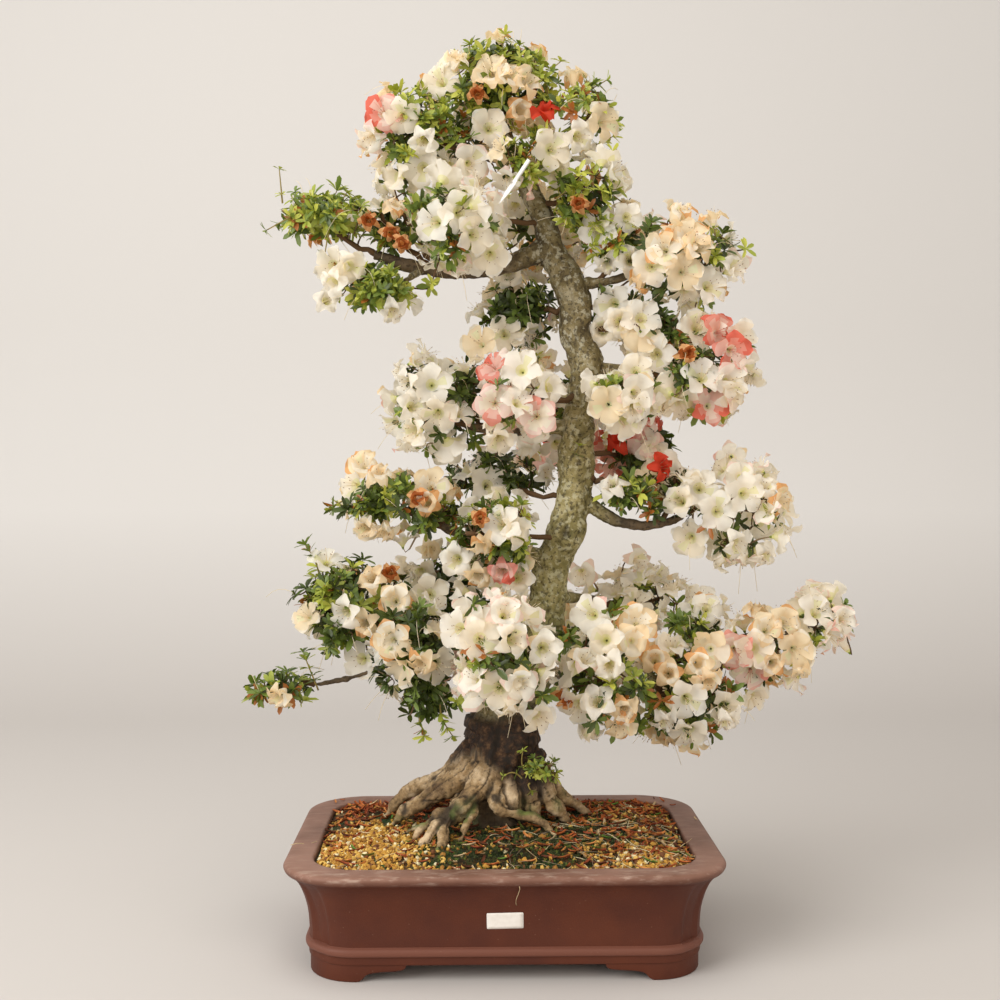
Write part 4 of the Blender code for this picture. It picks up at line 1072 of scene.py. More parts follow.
def leafTemplate(count, rng, opening):
    # a whorl of leaves: the outer ones long and spread, the inner ones short and upright
    bm = bmesh.new()
    zone = bm.faces.layers.int.new("zone")
    for leaf in range(count):
        inner = leaf >= count - 2
        length = leafShape["length"] * rng.uniform(0.8, 1.08) * (0.55 if inner else 1.0)
        half = length * rng.uniform(0.160, 0.205)
        rise = math.radians(opening + rng.uniform(-14, 14) + (32 if inner else 0))
        bow = rng.uniform(0.10, 0.30)
        grid = bmesh.ops.create_grid(bm, x_segments=2, y_segments=3, size=0.5)["verts"]
        for face in {face for vert in grid for face in vert.link_faces}:
            face[zone] = leaf
        for vert in grid:
            s, step = vert.co.x * 2, round((vert.co.y + 0.5) * 3)
            t = leafShape["along"][step]
            width = half * leafShape["halves"][step]
            along = length * t
            lift = -bow * length * t * t
            x = along * math.cos(rise) - lift * math.sin(rise)
            z = along * math.sin(rise) + lift * math.cos(rise) + leafShape["fold"] * abs(s) * width
            vert.co = (x * mm, -s * width * mm, z * mm)
        turn = Matrix.Rotation(leaf * 2.4 + rng.uniform(-0.3, 0.3), 3, "Z")
        bmesh.ops.rotate(bm, matrix=turn, verts=grid)
    bmesh.ops.remove_doubles(bm, verts=bm.verts[:], dist=1e-6)
    return templateFrom(bm)


# Foliage tones, one plain colour each, because they are dealt out by leaf and by petal

petalTones = {
    "white": "#FDFBF3", "ivory": "#FCF6E6", "cream": "#FAEBCC", "throat": "#F0F2B2", "halo": "#F5F4CE",
    "blush": "#FCE7DE", "rose": "#F8CDC3", "pink": "#F3A598", "salmon": "#EC7A68", "vermilion": "#DD4A30",
    "peach": "#F9E4BE", "apricot": "#EFBA80", "rust": "#B9682F",
    "stamen": "#F8F0D8", "pinkStamen": "#EDB3A8", "anther": "#A5865F", "calyx": "#8FA448",
}
# the dark tone stands for leaves in shade: painted shade, dealt to the inner whorls and to masses of the
# dark look
leafTones = {
    "lime": "#C6CA5C", "fresh": "#9FAA46", "green": "#6F8339", "deep": "#4C5C27", "dark": "#364117",
    "brown": "#A9682F",
}
twigTones = {"wood": "#593F22", "shoot": "#8A7A3E", "pale": "#8A7558"}


def softTissue(name, colour, lit, through, roughness, sheen):
    # a petal or leaf a quarter of a millimetre thick: light comes through it, warmer than it falls on it
    material, tree, shader = freshMaterial(name, roughness)
    warm = [a * b for a, b in zip(tint(colour), tint(lit))]
    feed(shader, {"Base Color": colour, "Specular IOR Level": sheen})
    glow = addNode(tree, "BsdfTranslucent", {"Color": warm})
    both = addNode(tree, "MixShader", {0: through, 1: shader.outputs["BSDF"], 2: glow})
    feed(tree.nodes["Material Output"], {"Surface": both})
    return material


def plainTone(name, colour, roughness):
    material, tree, shader = freshMaterial(name, roughness)
    feed(shader, {"Base Color": colour})
    return material


petalSkin = {"lit": "#FFF6E6", "through": 0.48, "roughness": 0.6, "sheen": 0.3}
leafSkin = {"lit": "#FFFCA8", "through": 0.28, "roughness": 0.40, "sheen": 0.5}
petalNumber = {name: i for i, name in enumerate(petalTones)}
leafNumber = {name: i for i, name in enumerate(leafTones)}
petalMaterials = [softTissue(f"petal_{name}", colour, **petalSkin) for name, colour in petalTones.items()]
leafMaterials = [softTissue(f"leaf_{name}", colour, **leafSkin) for name, colour in leafTones.items()]
twigMaterials = [plainTone(f"twig_{name}", colour, 0.8) for name, colour in twigTones.items()]

# each kind of flower: petal body, towards the margin, margin, blotch, throat, halo and stamens
flowerKinds = {
    "white": ("white", "white", "white", "halo", "throat", "halo", "stamen"),
    "ivory": ("ivory", "ivory", "white", "halo", "throat", "halo", "stamen"),
    "cream": ("cream", "cream", "ivory", "halo", "halo", "cream", "stamen"),
    "flushed": ("white", "white", "blush", "halo", "throat", "ivory", "stamen"),
    "pinkEdge": ("ivory", "blush", "rose", "blush", "halo", "ivory", "pinkStamen"),
    "pink": ("blush", "rose", "pink", "rose", "halo", "blush", "pinkStamen"),
    "salmon": ("rose", "pink", "salmon", "salmon", "blush", "rose", "pinkStamen"),
    "vermilion": ("vermilion", "vermilion", "vermilion", "vermilion", "salmon", "vermilion", "salmon"),
    "fading": ("ivory", "cream", "peach", "halo", "halo", "ivory", "stamen"),
    "faded": ("cream", "peach", "apricot", "peach", "cream", "cream", "stamen"),
    "withered": ("rust", "rust", "apricot", "rust", "apricot", "apricot", "rust"),
}


def flowerToneRow(kind, rng):
    # material numbers of the 33 zones; now and then one petal takes a sport's colour
    body, near, margin, blotch, throat, halo, stamen = flowerKinds[kind]
    row = []
    for petal in range(5):
        own = [throat, halo, body, near, margin, blotch]
        if kind in ("pinkEdge", "pink") and rng.random() < 0.25:
            own[2:5] = ("rose", "pink", "pink") if kind == "pinkEdge" else ("pink", "salmon", "salmon")
        if kind in ("white", "ivory", "flushed") and rng.random() < 0.03:
            own[4] = "peach" if rng.random() < 0.7 else "rose"
        if kind in ("fading", "faded"):
            own[2] = rng.choice(["ivory", "cream"])
            own[3] = rng.choice(["ivory", "cream", "peach"])
            own[4] = rng.choice(["peach", "cream", "apricot"], p=(0.45, 0.2, 0.35))
        row += own
    return [petalNumber[name] for name in row + ["calyx", stamen, "anther"]]


# Masses: middle and half sizes in millimetres, carrier, height on the trunk where that carries it, and
# the look: share of blossom, share of leaf, and how the flowers and leaves there are toned
masses = {
    "apex": ((-6, 20, 1136), (96, 78, 66), "trunk", None, 0.36, 0.65, "faded bright"),
    "top_left": ((-117, 0, 1067), (70, 66, 77), "trunk", 1.034, 0.5, 0.6, "faded rust bright"),
    "top_right": ((99, 0, 1087), (62, 60, 62), "trunk", 1.012, 0.1, 0.38, "bright faded"),
    "upper_left_front": ((-67, -50, 939), (73, 58, 70), "trunk", 0.95, 0.85, 0.35, "pale"),
    "right_shoulder": ((114, -6, 985), (60, 58, 62), "trunk", 0.976, 0.35, 0.6, "rust bright"),
    "upper_left_tip": ((-230, 10, 950), (76, 58, 62), "upper_left", None, 0.05, 0.55, "bright rust"),
    "upper_left_under": ((-174, -10, 858), (72, 54, 52), "upper_left_spur", None, 0.22, 0.85, "bright"),
    "right_upper": ((235, 0, 897), (88, 72, 76), "right_upper", None, 0.8, 0.4, "faded"),
    "right_upper_under": ((188, 20, 820), (62, 54, 46), "trunk", 0.806, 0.8, 0.4, "dark"),
    "right_second": ((262, 0, 750), (80, 68, 72), "right_second", None, 0.8, 0.4, "pink"),
    "right_second_front": ((157, -48, 714), (50, 44, 43), "trunk", 0.705, 0.7, 0.4, ""),
    "right_back": ((190, 92, 649), (64, 54, 56), "trunk", 0.64, 0.3, 0.95, "red dark"),
    "left_second": ((-100, 10, 707), (60, 62, 80), "left_second", None, 0.9, 0.35, "pale dark"),
    "left_second_front": ((14, -52, 713), (58, 48, 62), "trunk", 0.718, 0.9, 0.3, "pink pale dark"),
    "left_upper_back": ((22, 74, 844), (60, 54, 66), "trunk", 0.835, 0.3, 0.95, "dark"),
    "left_mid_back": ((-2, 94, 609), (84, 64, 59), "trunk", 0.58, 0.18, 1.0, "dark"),
    "left_third": ((-148, 0, 574), (82, 62, 50), "left_third", None, 0.28, 0.95, "faded"),
    "left_third_front": ((-15, -50, 538), (62, 50, 56), "trunk", 0.53, 0.45, 0.9, "faded"),
    "left_third_back": ((-65, 84, 475), (66, 54, 50), "trunk", 0.468, 0.35, 0.9, "dark"),
    "left_low": ((-206, -10, 445), (68, 64, 72), "left_low", None, 0.4, 0.95, "faded"),
    "left_low_mid": ((-115, -56, 385), (62, 62, 80), "left_low_front", None, 0.5, 1.0, "dark"),
    "left_low_back": ((-122, 108, 425), (74, 62, 56), "left_back", None, 0.7, 0.45, ""),
    "front_low": ((-4, -172, 397), (61, 63, 81), "front_low", None, 0.85, 0.6, "flushed"),
    "left_low_tip": ((-293, -40, 334), (50, 42, 48), "left_low_long", None, 0.0, 0.4, ""),
    "right_third_inner": ((171, -12, 588), (45, 42, 40), "trunk", 0.612, 0.15, 0.9, ""),
    "right_third": ((310, 0, 564), (80, 68, 76), "right_third", None, 1.0, 0.25, "pale"),
    "right_low_front": ((122, -110, 366), (62, 64, 84), "front_right", None, 0.95, 0.35, "pale"),
    "right_low_mid": ((229, -62, 334), (75, 66, 78), "right_low_front", None, 0.75, 0.7, "faded"),
    "right_low_far": ((345, -12, 383), (75, 58, 60), "right_low_fork", None, 0.95, 0.25, "faded"),
    "right_low_tip": ((426, 8, 421), (50, 46, 46), "right_low", None, 0.9, 0.3, "flushed"),
    "right_low_back": ((196, 124, 435), (90, 64, 52), "right_back", None, 0.9, 0.35, ""),
    "back_low": ((57, 172, 373), (88, 63, 74), "back_low", None, 0.8, 0.5, ""),
    "back_mid": ((86, 158, 700), (92, 64, 88), "back_mid", None, 0.8, 0.5, "pink"),
    "back_upper": ((62, 126, 961), (90, 64, 76), "trunk", 0.92, 0.7, 0.5, "faded"),
    "base_sprig": ((46, -50, 232), (32, 28, 36), "trunk", 0.214, 0.0, 0.25, "bright"),
}
# sprays that close the crown between the masses: pixel of the middle and its depth, then as above
fillers = {
    "crown_front": ((515, 163), -40, (44, 34, 34), "trunk", 1.02, 0.3, 0.8, "bright"),
    "crown_left": ((468, 152), -5, (50, 50, 50), "trunk", 1.035, 0.55, 0.7, "faded"),
    "crown_right": ((553, 150), -10, (46, 46, 42), "trunk", 1.02, 0.5, 0.45, "bright"),
    "left_bridge": ((394, 226), 0, (42, 46, 36), "upper_left", 0.62, 0.5, 0.8, "rust"),
    "left_inner": ((396, 178), 10, (30, 42, 36), "upper_left", 0.55, 0.8, 0.5, ""),
    "right_inner": ((618, 238), -5, (44, 46, 44), "right_upper", 0.45, 0.45, 0.9, "bright"),
    "right_bridge": ((655, 318), 10, (58, 50, 36), "trunk", 0.84, 0.7, 0.7, "dark"),
    "second_bridge": ((468, 388), 20, (40, 46, 52), "left_second", 0.8, 0.35, 0.9, "dark"),
    "third_bridge": ((670, 488), 0, (40, 46, 40), "right_third", 0.72, 0.75, 0.6, ""),
    "left_third_bridge": ((440, 512), 10, (46, 46, 40), "left_third", 0.7, 0.22, 1.0, "faded rust"),
    "low_left_bridge": ((400, 600), 10, (50, 50, 50), "left_low", 0.8, 0.4, 1.0, "faded"),
    "low_left_inner": ((470, 610), 0, (50, 45, 45), "left_low", 0.4, 0.35, 0.9, "dark"),
    "low_right_bridge": ((722, 668), -30, (46, 46, 42), "right_low", 0.72, 0.85, 0.4, "faded"),
    "low_right_top": ((700, 624), 45, (62, 46, 36), "right_low", 0.6, 0.9, 0.4, ""),
    "low_right_inner": ((590, 650), -20, (50, 45, 45), "right_low", 0.22, 0.55, 0.8, "dark"),
}
for name, (centre, radii, *rest) in masses.items():
    masses[name] = (np.array(centre) / 1000, np.array(radii) / 1000, *rest)
for name, (pixel, depth, radii, *rest) in fillers.items():
    masses[name] = (np.array(photoPlace(*pixel, depth / 1000)), np.array(radii) / 1000, *rest)

sprayShape = {
    "flowerRoom": 0.030,  # least distance between the rims' middles of two flowers
    "flowerTries": 1.6,  # places tried for each flower that there is room for
    "flowerDeep": 0.022,  # how far a flower's foot lies under the mass's outline
    "flowerSize": (0.76, 1.00),
    "flowerStray": 0.50,  # how far flowers turn from facing straight outwards
    "flowerClear": (0.024, 0.008),  # of the wood, for a flower's rim and for its foot
    "overlap": (0.84, 0.76),  # how deep in another mass a flower and a whorl may sit
    "spotRoom": 42,  # square pixels of a leaf spot for each whorl
    "spotRim": 4,  # pixels round a leaf spot that stay free of flowers
    "bunching": 1.6,  # the flowers come in bunches: how fast these change round a mass
    "setSize": 0.94,  # of the listed flowers
    "setStray": 0.18,
    "witheredSize": (0.70, 0.72),  # listed, and the others
    "whorlRoom": 0.0168,
    "whorlDeep": 0.014,
    "whorlStray": 0.28,
    "whorlRise": 0.42,  # how much the whorls turn upwards
    "whorlClear": (0.026, 0.012),  # no whorl this near the axis of a flower's mouth, measured at its middle
    "innerWhorls": 0.32,  # share of the whorls that sit further in
    "innerReach": (0.55, 0.80),
    "reach": 0.89,  # of the mass's outline, and how much its lumps add or take
    "lumps": 0.18,
    "shoots": 0.12,  # share of the whorls that stand out further, by up to this
    "shootOut": 0.24,
    "secondOrder": 0.010,  # a twig leaves another twig where that shortens it by this much
    "twig": (1.5 * mm, 0.65 * mm),
    "stem": (4.1 * mm, 2.3 * mm),
    "stemWander": 2.2 * mm,
    "setShoot": (1.3 * mm, 0.7 * mm),
    "neck": 0.006,
    "limbClear": 0.004,  # of the wood, for a whorl's foot
    "styles": 0.10,  # share of the whorls with a style left over from a fallen flower
    "style": (0.030, 0.044),
    "seed": 4100,
}
# flowers given one by one, by kind and state: pixel, and how far each is turned from facing the
# camera (right, up) in degrees
setFlowers = {
    "white open": (
        (422, 170, -10, -35), (432, 222, -15, -10), (462, 213, 0, 10), (432, 384, -10, 8),
        (520, 368, 5, 25), (595, 231, -20, 0), (712, 283, 20, 0), (642, 316, -5, -10), (655, 354, -20, 5),
        (705, 374, 10, 5), (612, 304, -20, 0), (700, 486, -15, 15), (720, 512, 0, -5), (690, 704, 5, -10),
        (590, 614, -15, 10), (822, 610, 15, 20), (357, 660, -15, -10), (500, 523, -15, 5),
        (748, 494, 25, 5), (455, 628, -30, 0), (703, 598, 0, 35),
    ),
    "white funnel": (
        (580, 138, 25, -15), (455, 560, -20, -10), (343, 614, -40, 0), (597, 702, -25, 0),
        (405, 384, -60, 0), (737, 268, 50, 10), (553, 386, 35, 5), (635, 410, 5, -35), (545, 648, 10, 0),
        (740, 545, 20, -35),
    ),
    "white half": (
        (424, 143, -10, -40), (515, 207, 0, -50), (334, 283, -15, -60), (393, 312, 0, -70),
        (607, 264, 10, -60), (527, 448, 5, -50), (613, 486, -20, 30), (665, 722, 0, -45),
        (728, 722, 15, -40), (610, 668, 0, -20), (765, 556, 30, -55),
    ),
    "ivory open": (
        (490, 128, 0, 0), (478, 236, 10, 0), (490, 260, 15, -30), (553, 150, 10, -5),
        (330, 268, -30, -25), (505, 333, 0, 10), (682, 408, 0, -55), (700, 324, 5, 10), (745, 337, 60, 0),
        (757, 651, 5, 0), (640, 602, 5, 35), (480, 640, 0, 5), (430, 594, -5, 30), (438, 418, 0, -40),
        (690, 540, -20, -25), (650, 266, -20, -20), (577, 711, -20, -30), (690, 738, 0, -60),
        (730, 712, 25, -20), (440, 668, 15, -15),
    ),
    "ivory funnel": (
        (392, 178, -60, -10), (508, 276, 20, -50), (556, 172, -10, -30), (518, 530, 30, 0),
        (620, 322, -25, -20), (757, 700, 40, -20), (540, 720, 10, -45), (412, 432, -30, -30),
        (500, 442, 0, -40), (680, 500, -40, 0), (655, 452, 10, 10), (352, 268, 20, -20),
        (605, 640, -10, 10), (515, 640, 15, 10), (735, 396, 40, -25), (603, 330, -30, 10),
        (519, 578, 0, -10), (540, 225, 20, 0),
    ),
    "ivory flat": ((500, 690, -5, 0), (440, 80, -15, 20)),
    "cream open": ((478, 341, -20, 10), (608, 404, -20, -10), (684, 272, 10, -5), (800, 652, 20, -20)),
    "cream half": ((455, 62, -10, 40), (385, 532, -5, -60), (365, 528, -30, -55), (430, 549, 0, -50)),
    "fading open": (
        (662, 246, -20, 10), (391, 641, -5, 5), (712, 651, -10, 5), (430, 484, 0, 30), (640, 622, 0, 20),
    ),
    "fading funnel": (
        (700, 244, 15, 25), (785, 500, 50, 5), (770, 628, 10, 20), (790, 622, 10, 30),
        (363, 462, -20, 60), (620, 730, 0, -30), (635, 642, 5, 0), (395, 600, 0, 20), (510, 74, 15, 35),
        (530, 82, 20, 0),
    ),
    "fading half": (
        (478, 576, 5, -50), (421, 663, -10, -50), (278, 697, -20, -40), (655, 660, -10, 0),
        (365, 624, 0, 0), (396, 208, 0, 20), (427, 502, 0, -10), (710, 682, 10, -10),
    ),
    "faded open": ((490, 70, 0, 30), (692, 232, 10, 40)),
    "faded half": (
        (520, 112, 0, -20), (670, 674, 0, 0), (700, 664, 5, -5), (625, 712, -5, -20), (380, 474, 0, 45),
        (372, 578, -20, 30),
    ),
    "withered withered": (
        (480, 519, 0, -10), (370, 222, -10, 0), (392, 234, 10, -10), (402, 244, 0, -40), (578, 205, 0, 0),
        (418, 498, 0, 20), (390, 573, 0, 30), (478, 96, 0, 0), (687, 352, 0, 10), (564, 700, 0, 0),
    ),
    "flushed open": ((472, 166, 10, -35), (733, 380, 30, 0), (838, 640, 40, -30), (640, 392, 10, 20)),
    "flushed funnel": (
        (370, 142, -40, -45), (848, 620, 60, 0), (522, 686, 30, -10), (640, 560, 40, 0),
        (582, 576, 10, -30), (505, 612, 10, 20),
    ),
    "pinkEdge flat": ((494, 403, -5, 0),),
    "pink flat": ((383, 113, -10, 10),),
    "pinkEdge open": ((537, 416, 5, -10), (645, 438, -10, 30)),
    "salmon flat": ((723, 331, 25, 5),),
    "pink open": ((736, 352, 45, -5), (736, 652, 5, -5)),
    "pink half": ((503, 572, -10, -10),),
    "vermilion half": ((545, 112, -10, 40), (662, 466, 30, 10), (618, 440, -20, 20)),
}
# where leaves show between the flowers: pixel and reach
leafSpots = (
    (470, 60, 12), (455, 112, 24), (425, 122, 16), (402, 147, 12), (530, 165, 22), (545, 72, 14),
    (588, 92, 15), (562, 100, 11), (575, 190, 14), (415, 200, 14), (452, 245, 16), (300, 205, 22),
    (330, 210, 16), (355, 206, 14), (375, 285, 20), (403, 288, 16), (430, 282, 8), (362, 300, 14),
    (392, 275, 14), (612, 236, 20), (650, 225, 14), (718, 250, 16), (680, 330, 16), (688, 372, 18),
    (460, 385, 15), (470, 434, 14), (495, 455, 16), (625, 495, 22), (655, 508, 14), (372, 492, 20),
    (402, 480, 18), (430, 518, 20), (500, 547, 14), (525, 545, 12), (325, 585, 18), (335, 622, 16),
    (330, 645, 14), (385, 612, 14), (415, 612, 16), (470, 602, 12), (485, 660, 18), (425, 702, 22),
    (450, 702, 14), (541, 695, 12), (565, 645, 18), (610, 608, 12), (690, 625, 20), (700, 640, 12),
    (645, 690, 16), (612, 690, 14), (640, 726, 12), (738, 690, 12), (822, 640, 10), (615, 380, 12),
    (560, 175, 10), (600, 102, 10), (515, 541, 12), (596, 318, 9), (604, 290, 8), (522, 560, 8),
    (450, 100, 12), (480, 50, 13), (503, 60, 12), (522, 56, 12), (545, 95, 11), (425, 100, 11),
    (462, 84, 9), (534, 130, 9), (597, 215, 13), (590, 240, 11), (440, 190, 9), (565, 212, 9),
    (475, 110, 9),
)
# shoots given one by one: pixels of the foot and the tip, how deep they lie, number of whorls and their
# size
setShoots = (
    ((500, 75), (505, 38), 0.01, 4, 0.8), ((475, 80), (472, 48), 0.0, 3, 0.7),
    ((570, 95), (606, 82), 0.0, 4, 0.8), ((590, 150), (612, 138), 0.0, 3, 0.8),
    ((284, 205), (281, 172), 0.0, 2, 0.6), ((540, 80), (535, 62), 0.0, 2, 0.8),
    ((322, 592), (306, 545), -0.02, 5, 0.8), ((318, 690), (303, 652), -0.05, 5, 0.85),
    ((300, 692), (256, 690), -0.045, 4, 0.8), ((345, 500), (331, 508), 0.0, 3, 0.85),
    ((528, 772), (523, 752), -0.05, 2, 0.5), ((535, 780), (553, 762), -0.055, 3, 0.5),
    ((522, 780), (504, 777), -0.055, 2, 0.5), ((530, 785), (531, 792), -0.06, 1, 0.5),
    ((575, 458), (579, 446), -0.005, 2, 0.6), ((700, 220), (733, 245), -0.01, 4, 0.8),
    ((418, 715), (424, 736), -0.07, 3, 0.85), ((440, 705), (452, 736), -0.075, 4, 0.85),
    ((640, 215), (606, 190), 0.0, 2, 0.7), ((690, 380), (713, 372), -0.04, 3, 0.7),
    ((300, 215), (268, 232), -0.02, 3, 0.8), ((330, 235), (326, 255), -0.02, 2, 0.7),
    ((560, 105), (592, 84), -0.01, 4, 0.8), ((575, 170), (603, 178), -0.01, 3, 0.7),
    ((556, 200), (612, 152), -0.03, 2, 0.7), ((548, 100), (560, 64), -0.01, 3, 0.7),
    ((445, 110), (420, 92), -0.01, 3, 0.8), ((560, 120), (600, 112), -0.02, 4, 0.8),
)


def bowed(start, handle, end, t):
    return start * (1 - t) ** 2 + handle * 2 * t * (1 - t) + end * t * t


def stemPath(name):
    # the source's stem: away from its carrier, then in a curve through the middle of its space
    centre, radii, carrier, at = masses[name][:4]
    line, widths = paths[carrier]
    if at is None:
        leaving = line[-1] - line[-2]
        leaving /= np.linalg.norm(leaving)
        start = line[-1] - leaving * 0.004
    else:
        inside = placeOn(paths[carrier], at, carrier == "trunk")
        leaving = centre - inside
        leaving[2] *= 0.35
        leaving /= np.linalg.norm(leaving)
        start = inside + leaving * widths[np.linalg.norm(line - inside, axis=1).argmin()] * 0.7
    end = centre + np.clip((centre - start) * 0.45, -radii * 0.5, radii * 0.5)
    neck = start + leaving * sprayShape["neck"]
    handle = neck + leaving * np.linalg.norm(end - neck) * 0.35
    t = np.linspace(0.0, 1.0, 10)[:, None]
    return np.vstack([start[None], bowed(neck, handle, end, t)])


def evenDirections(count, rng):
    k = np.arange(count) + 0.5
    z = 1.0 - 2.0 * k / count
    angle = math.pi * (3.0 - math.sqrt(5.0)) * k + rng.uniform(0, 2 * math.pi)
    ring = np.sqrt(1.0 - z * z)
    return np.column_stack([ring * np.cos(angle), ring * np.sin(angle), z])


def insideOthers(points, name, share):
    # which points lie well inside another mass's space
    inside = np.zeros(len(points), bool)
    for other, row in masses.items():
        if other != name:
            inside |= (((points - row[0]) / row[1]) ** 2).sum(1) < share * share
    return inside


def barkRows():
    # the limbs as straight stretches: starts, ends and radii
    lines = [(line[::3], widths[::3]) for line, widths in paths.values()]
    stretches = ((line[:-1], line[1:], widths[:-1]) for line, widths in lines)
    return [np.concatenate(rows) for rows in zip(*stretches)]


def barkGap(points, bark):
    starts, ends, radii = bark
    along = ends - starts
    away = points[:, None] - starts[None]
    share = np.clip((away * along).sum(2) / (along * along).sum(1), 0.0, 1.0)
    return (np.linalg.norm(away - share[..., None] * along[None], axis=2) - radii).min(1)


def massOutline(name, directions):
    # how far the mass reaches in each direction, with lumps
    number = list(masses).index(name)
    lump = np.array([noise.noise(Vector(d) * 2.1 + Vector((number * 3.1, 0, 0))) for d in directions])
    even = 1 / np.sqrt(((directions / masses[name][1]) ** 2).sum(1))
    return (sprayShape["reach"] + sprayShape["lumps"] * lump) * even


def massArea(name):
    x, y, z = (radius**1.6 for radius in masses[name][1])
    return 4 * math.pi * ((x * y + x * z + y * z) / 3) ** (1 / 1.6)


def frontOf(px, py):
    # the place on the front of the masses that a pixel of the photograph shows, and the mass there
    best = None
    for name, row in masses.items():
        centre, radii = row[:2]
        spot = np.array(photoPlace(px, py, centre[1] - 0.7 * radii[1]))
        beyond = float((((spot - centre) / radii)[[0, 2]] ** 2).sum())
        depth = centre[1] - radii[1] * math.sqrt(max(0.05, 1.0 - beyond)) * 0.95
        cost = depth + 0.6 * max(0.0, beyond - 0.9)
        if beyond < 1.7 and (best is None or cost < best[0]):
            best = (cost, name, depth)
    if best is None:
        spots = {name: np.array(photoPlace(px, py, row[0][1])) for name, row in masses.items()}
        name = min(masses, key=lambda name: np.linalg.norm(spots[name] - masses[name][0]))
        return name, spots[name]
    return best[1], np.array(photoPlace(px, py, best[2]))


def pixelsOf(points):
    away = points[:, 1] - photo["place"][1]
    across = (points[:, 0] - photo["place"][0]) / away - photo["turned"]
    up = (points[:, 2] - photo["place"][2]) / away
    return np.column_stack([500 + across * photo["focal"], photo["horizon"] - up * photo["focal"]])


def flowerMood(mood, rng):
    # the kind of flower and its state, by the look of its mass
    roll = rng.random()
    if "red" in mood and roll < 0.30:
        kind = rng.choice(["vermilion", "salmon", "pink"])
    elif "pink" in mood and roll < 0.30:
        kind = rng.choice(["pinkEdge", "pink", "salmon"], p=(0.55, 0.35, 0.10))
    elif "flushed" in mood and roll < 0.45:
        kind = "flushed"
    elif "rust" in mood and roll < 0.30:
        kind = rng.choice(["faded", "withered"])
    elif "faded" in mood and roll < 0.50:
        kind = rng.choice(["fading", "faded"], p=(0.7, 0.3))
    elif "pale" in mood and roll < 0.75:
        kind = rng.choice(["white", "flushed"], p=(0.85, 0.15))
    else:
        kind = rng.choice(["white", "ivory", "cream", "flushed", "fading", "pinkEdge"],
                          p=(0.42, 0.36, 0.10, 0.06, 0.04, 0.02))
    if kind == "withered":
        return kind, "withered"
    if kind == "faded":
        return kind, rng.choice(["half", "funnel"])
    if kind == "fading":
        return kind, rng.choice(["half", "funnel", "open"])
    return kind, rng.choice(["open", "flat", "funnel", "half"], p=(0.48, 0.18, 0.26, 0.08))


nextTone = {
    "lime": "fresh", "fresh": "green", "green": "deep", "deep": "dark", "dark": "deep", "brown": "green",
}


def leafTonesFor(mood, depthShare, rng, count):
    # leaf tones of one whorl; those further in are darker, which is painted shade inside the crown
    if depthShare < 0.75:
        names, weights = ["deep", "dark", "green"], (0.45, 0.35, 0.20)
    elif "bright" in mood:
        names, weights = ["lime", "fresh", "green", "deep", "brown"], (0.32, 0.38, 0.16, 0.02, 0.12)
    # masses of the dark look lie within, behind or under the crown: their darker leaves are painted shade
    elif "dark" in mood:
        names, weights = ["fresh", "green", "deep", "dark"], (0.08, 0.34, 0.40, 0.18)
    else:
        names, weights = ["lime", "fresh", "green", "deep", "brown"], (0.08, 0.28, 0.36, 0.20, 0.08)
    main = rng.choice(names, p=weights)
    return [leafNumber[main if rng.random() < 0.62 else nextTone[main]] for _ in range(count)]


def placeFlowers(rng, bark):
    # listed flowers come first, and those of the rule fill the masses round them
    flowers, taken = [], []
    shape = sprayShape

    def put(name, rim, facing, kind, state, size):
        foot = rim - facing * shape["flowerDeep"] * size
        flower = {"mass": name, "rim": rim, "facing": facing, "kind": kind, "state": state, "size": size}
        flowers.append({**flower, "foot": foot})
        taken.append(rim)

    for look, rows in setFlowers.items():
        kind, state = look.split()
        size = shape["witheredSize"][0] if kind == "withered" else shape["setSize"]
        for px, py, *turns in rows:
            name, rim = frontOf(px, py)
            right, up = (math.sin(math.radians(turn)) for turn in turns)
            facing = unitRows(np.array([right, -1.0, up + 0.05]))
            put(name, rim, unitRows(facing + rng.normal(0, shape["setStray"], 3)), kind, state, size)
    spots = np.array(leafSpots)
    for number, (name, row) in enumerate(masses.items()):
        centre, radii, bloom, mood = *row[:2], row[4], row[6]
        if bloom == 0:
            continue
        count = int(massArea(name) / shape["flowerRoom"] ** 2 * shape["flowerTries"])
        directions = evenDirections(count, rng)
        directions = unitRows(directions + rng.normal(0, 0.12, directions.shape))
        shift = Vector((0, number * 5.3, 9))
        cluster = np.array([noise.noise(Vector(d) * shape["bunching"] + shift) for d in directions])
        rims = centre + directions * massOutline(name, directions)[:, None]
        facings = directions / radii * radii.min() + rng.normal(0, shape["flowerStray"], directions.shape)
        facings[:, 2] += 0.06
        facings = unitRows(facings)
        feet = rims - facings * shape["flowerDeep"]
        good = cluster < np.quantile(cluster, min(1.0, bloom * 1.05))
        good &= ~insideOthers(rims, name, shape["overlap"][0])
        rimClear, footClear = shape["flowerClear"]
        good &= (barkGap(rims, bark) > rimClear) & (barkGap(feet, bark) > footClear)
        off = np.linalg.norm(pixelsOf(rims)[:, None] - spots[None, :, :2], axis=2)
        leafy = off < spots[:, 2] + shape["spotRim"]
        good &= ~(leafy.any(1) & (rims[:, 1] < centre[1]))
        small = min(1.0, 0.75 + 0.25 * radii.min() / 0.058)
        for rim, facing in zip(rims[good], facings[good]):
            if min(np.linalg.norm(np.array(taken) - rim, axis=1)) > shape["flowerRoom"]:
                size = rng.uniform(*shape["flowerSize"]) * small
                kind, state = flowerMood(mood, rng)
                size *= shape["witheredSize"][1] if kind == "withered" else 1.0
                put(name, rim, facing, kind, state, size)
    return flowers


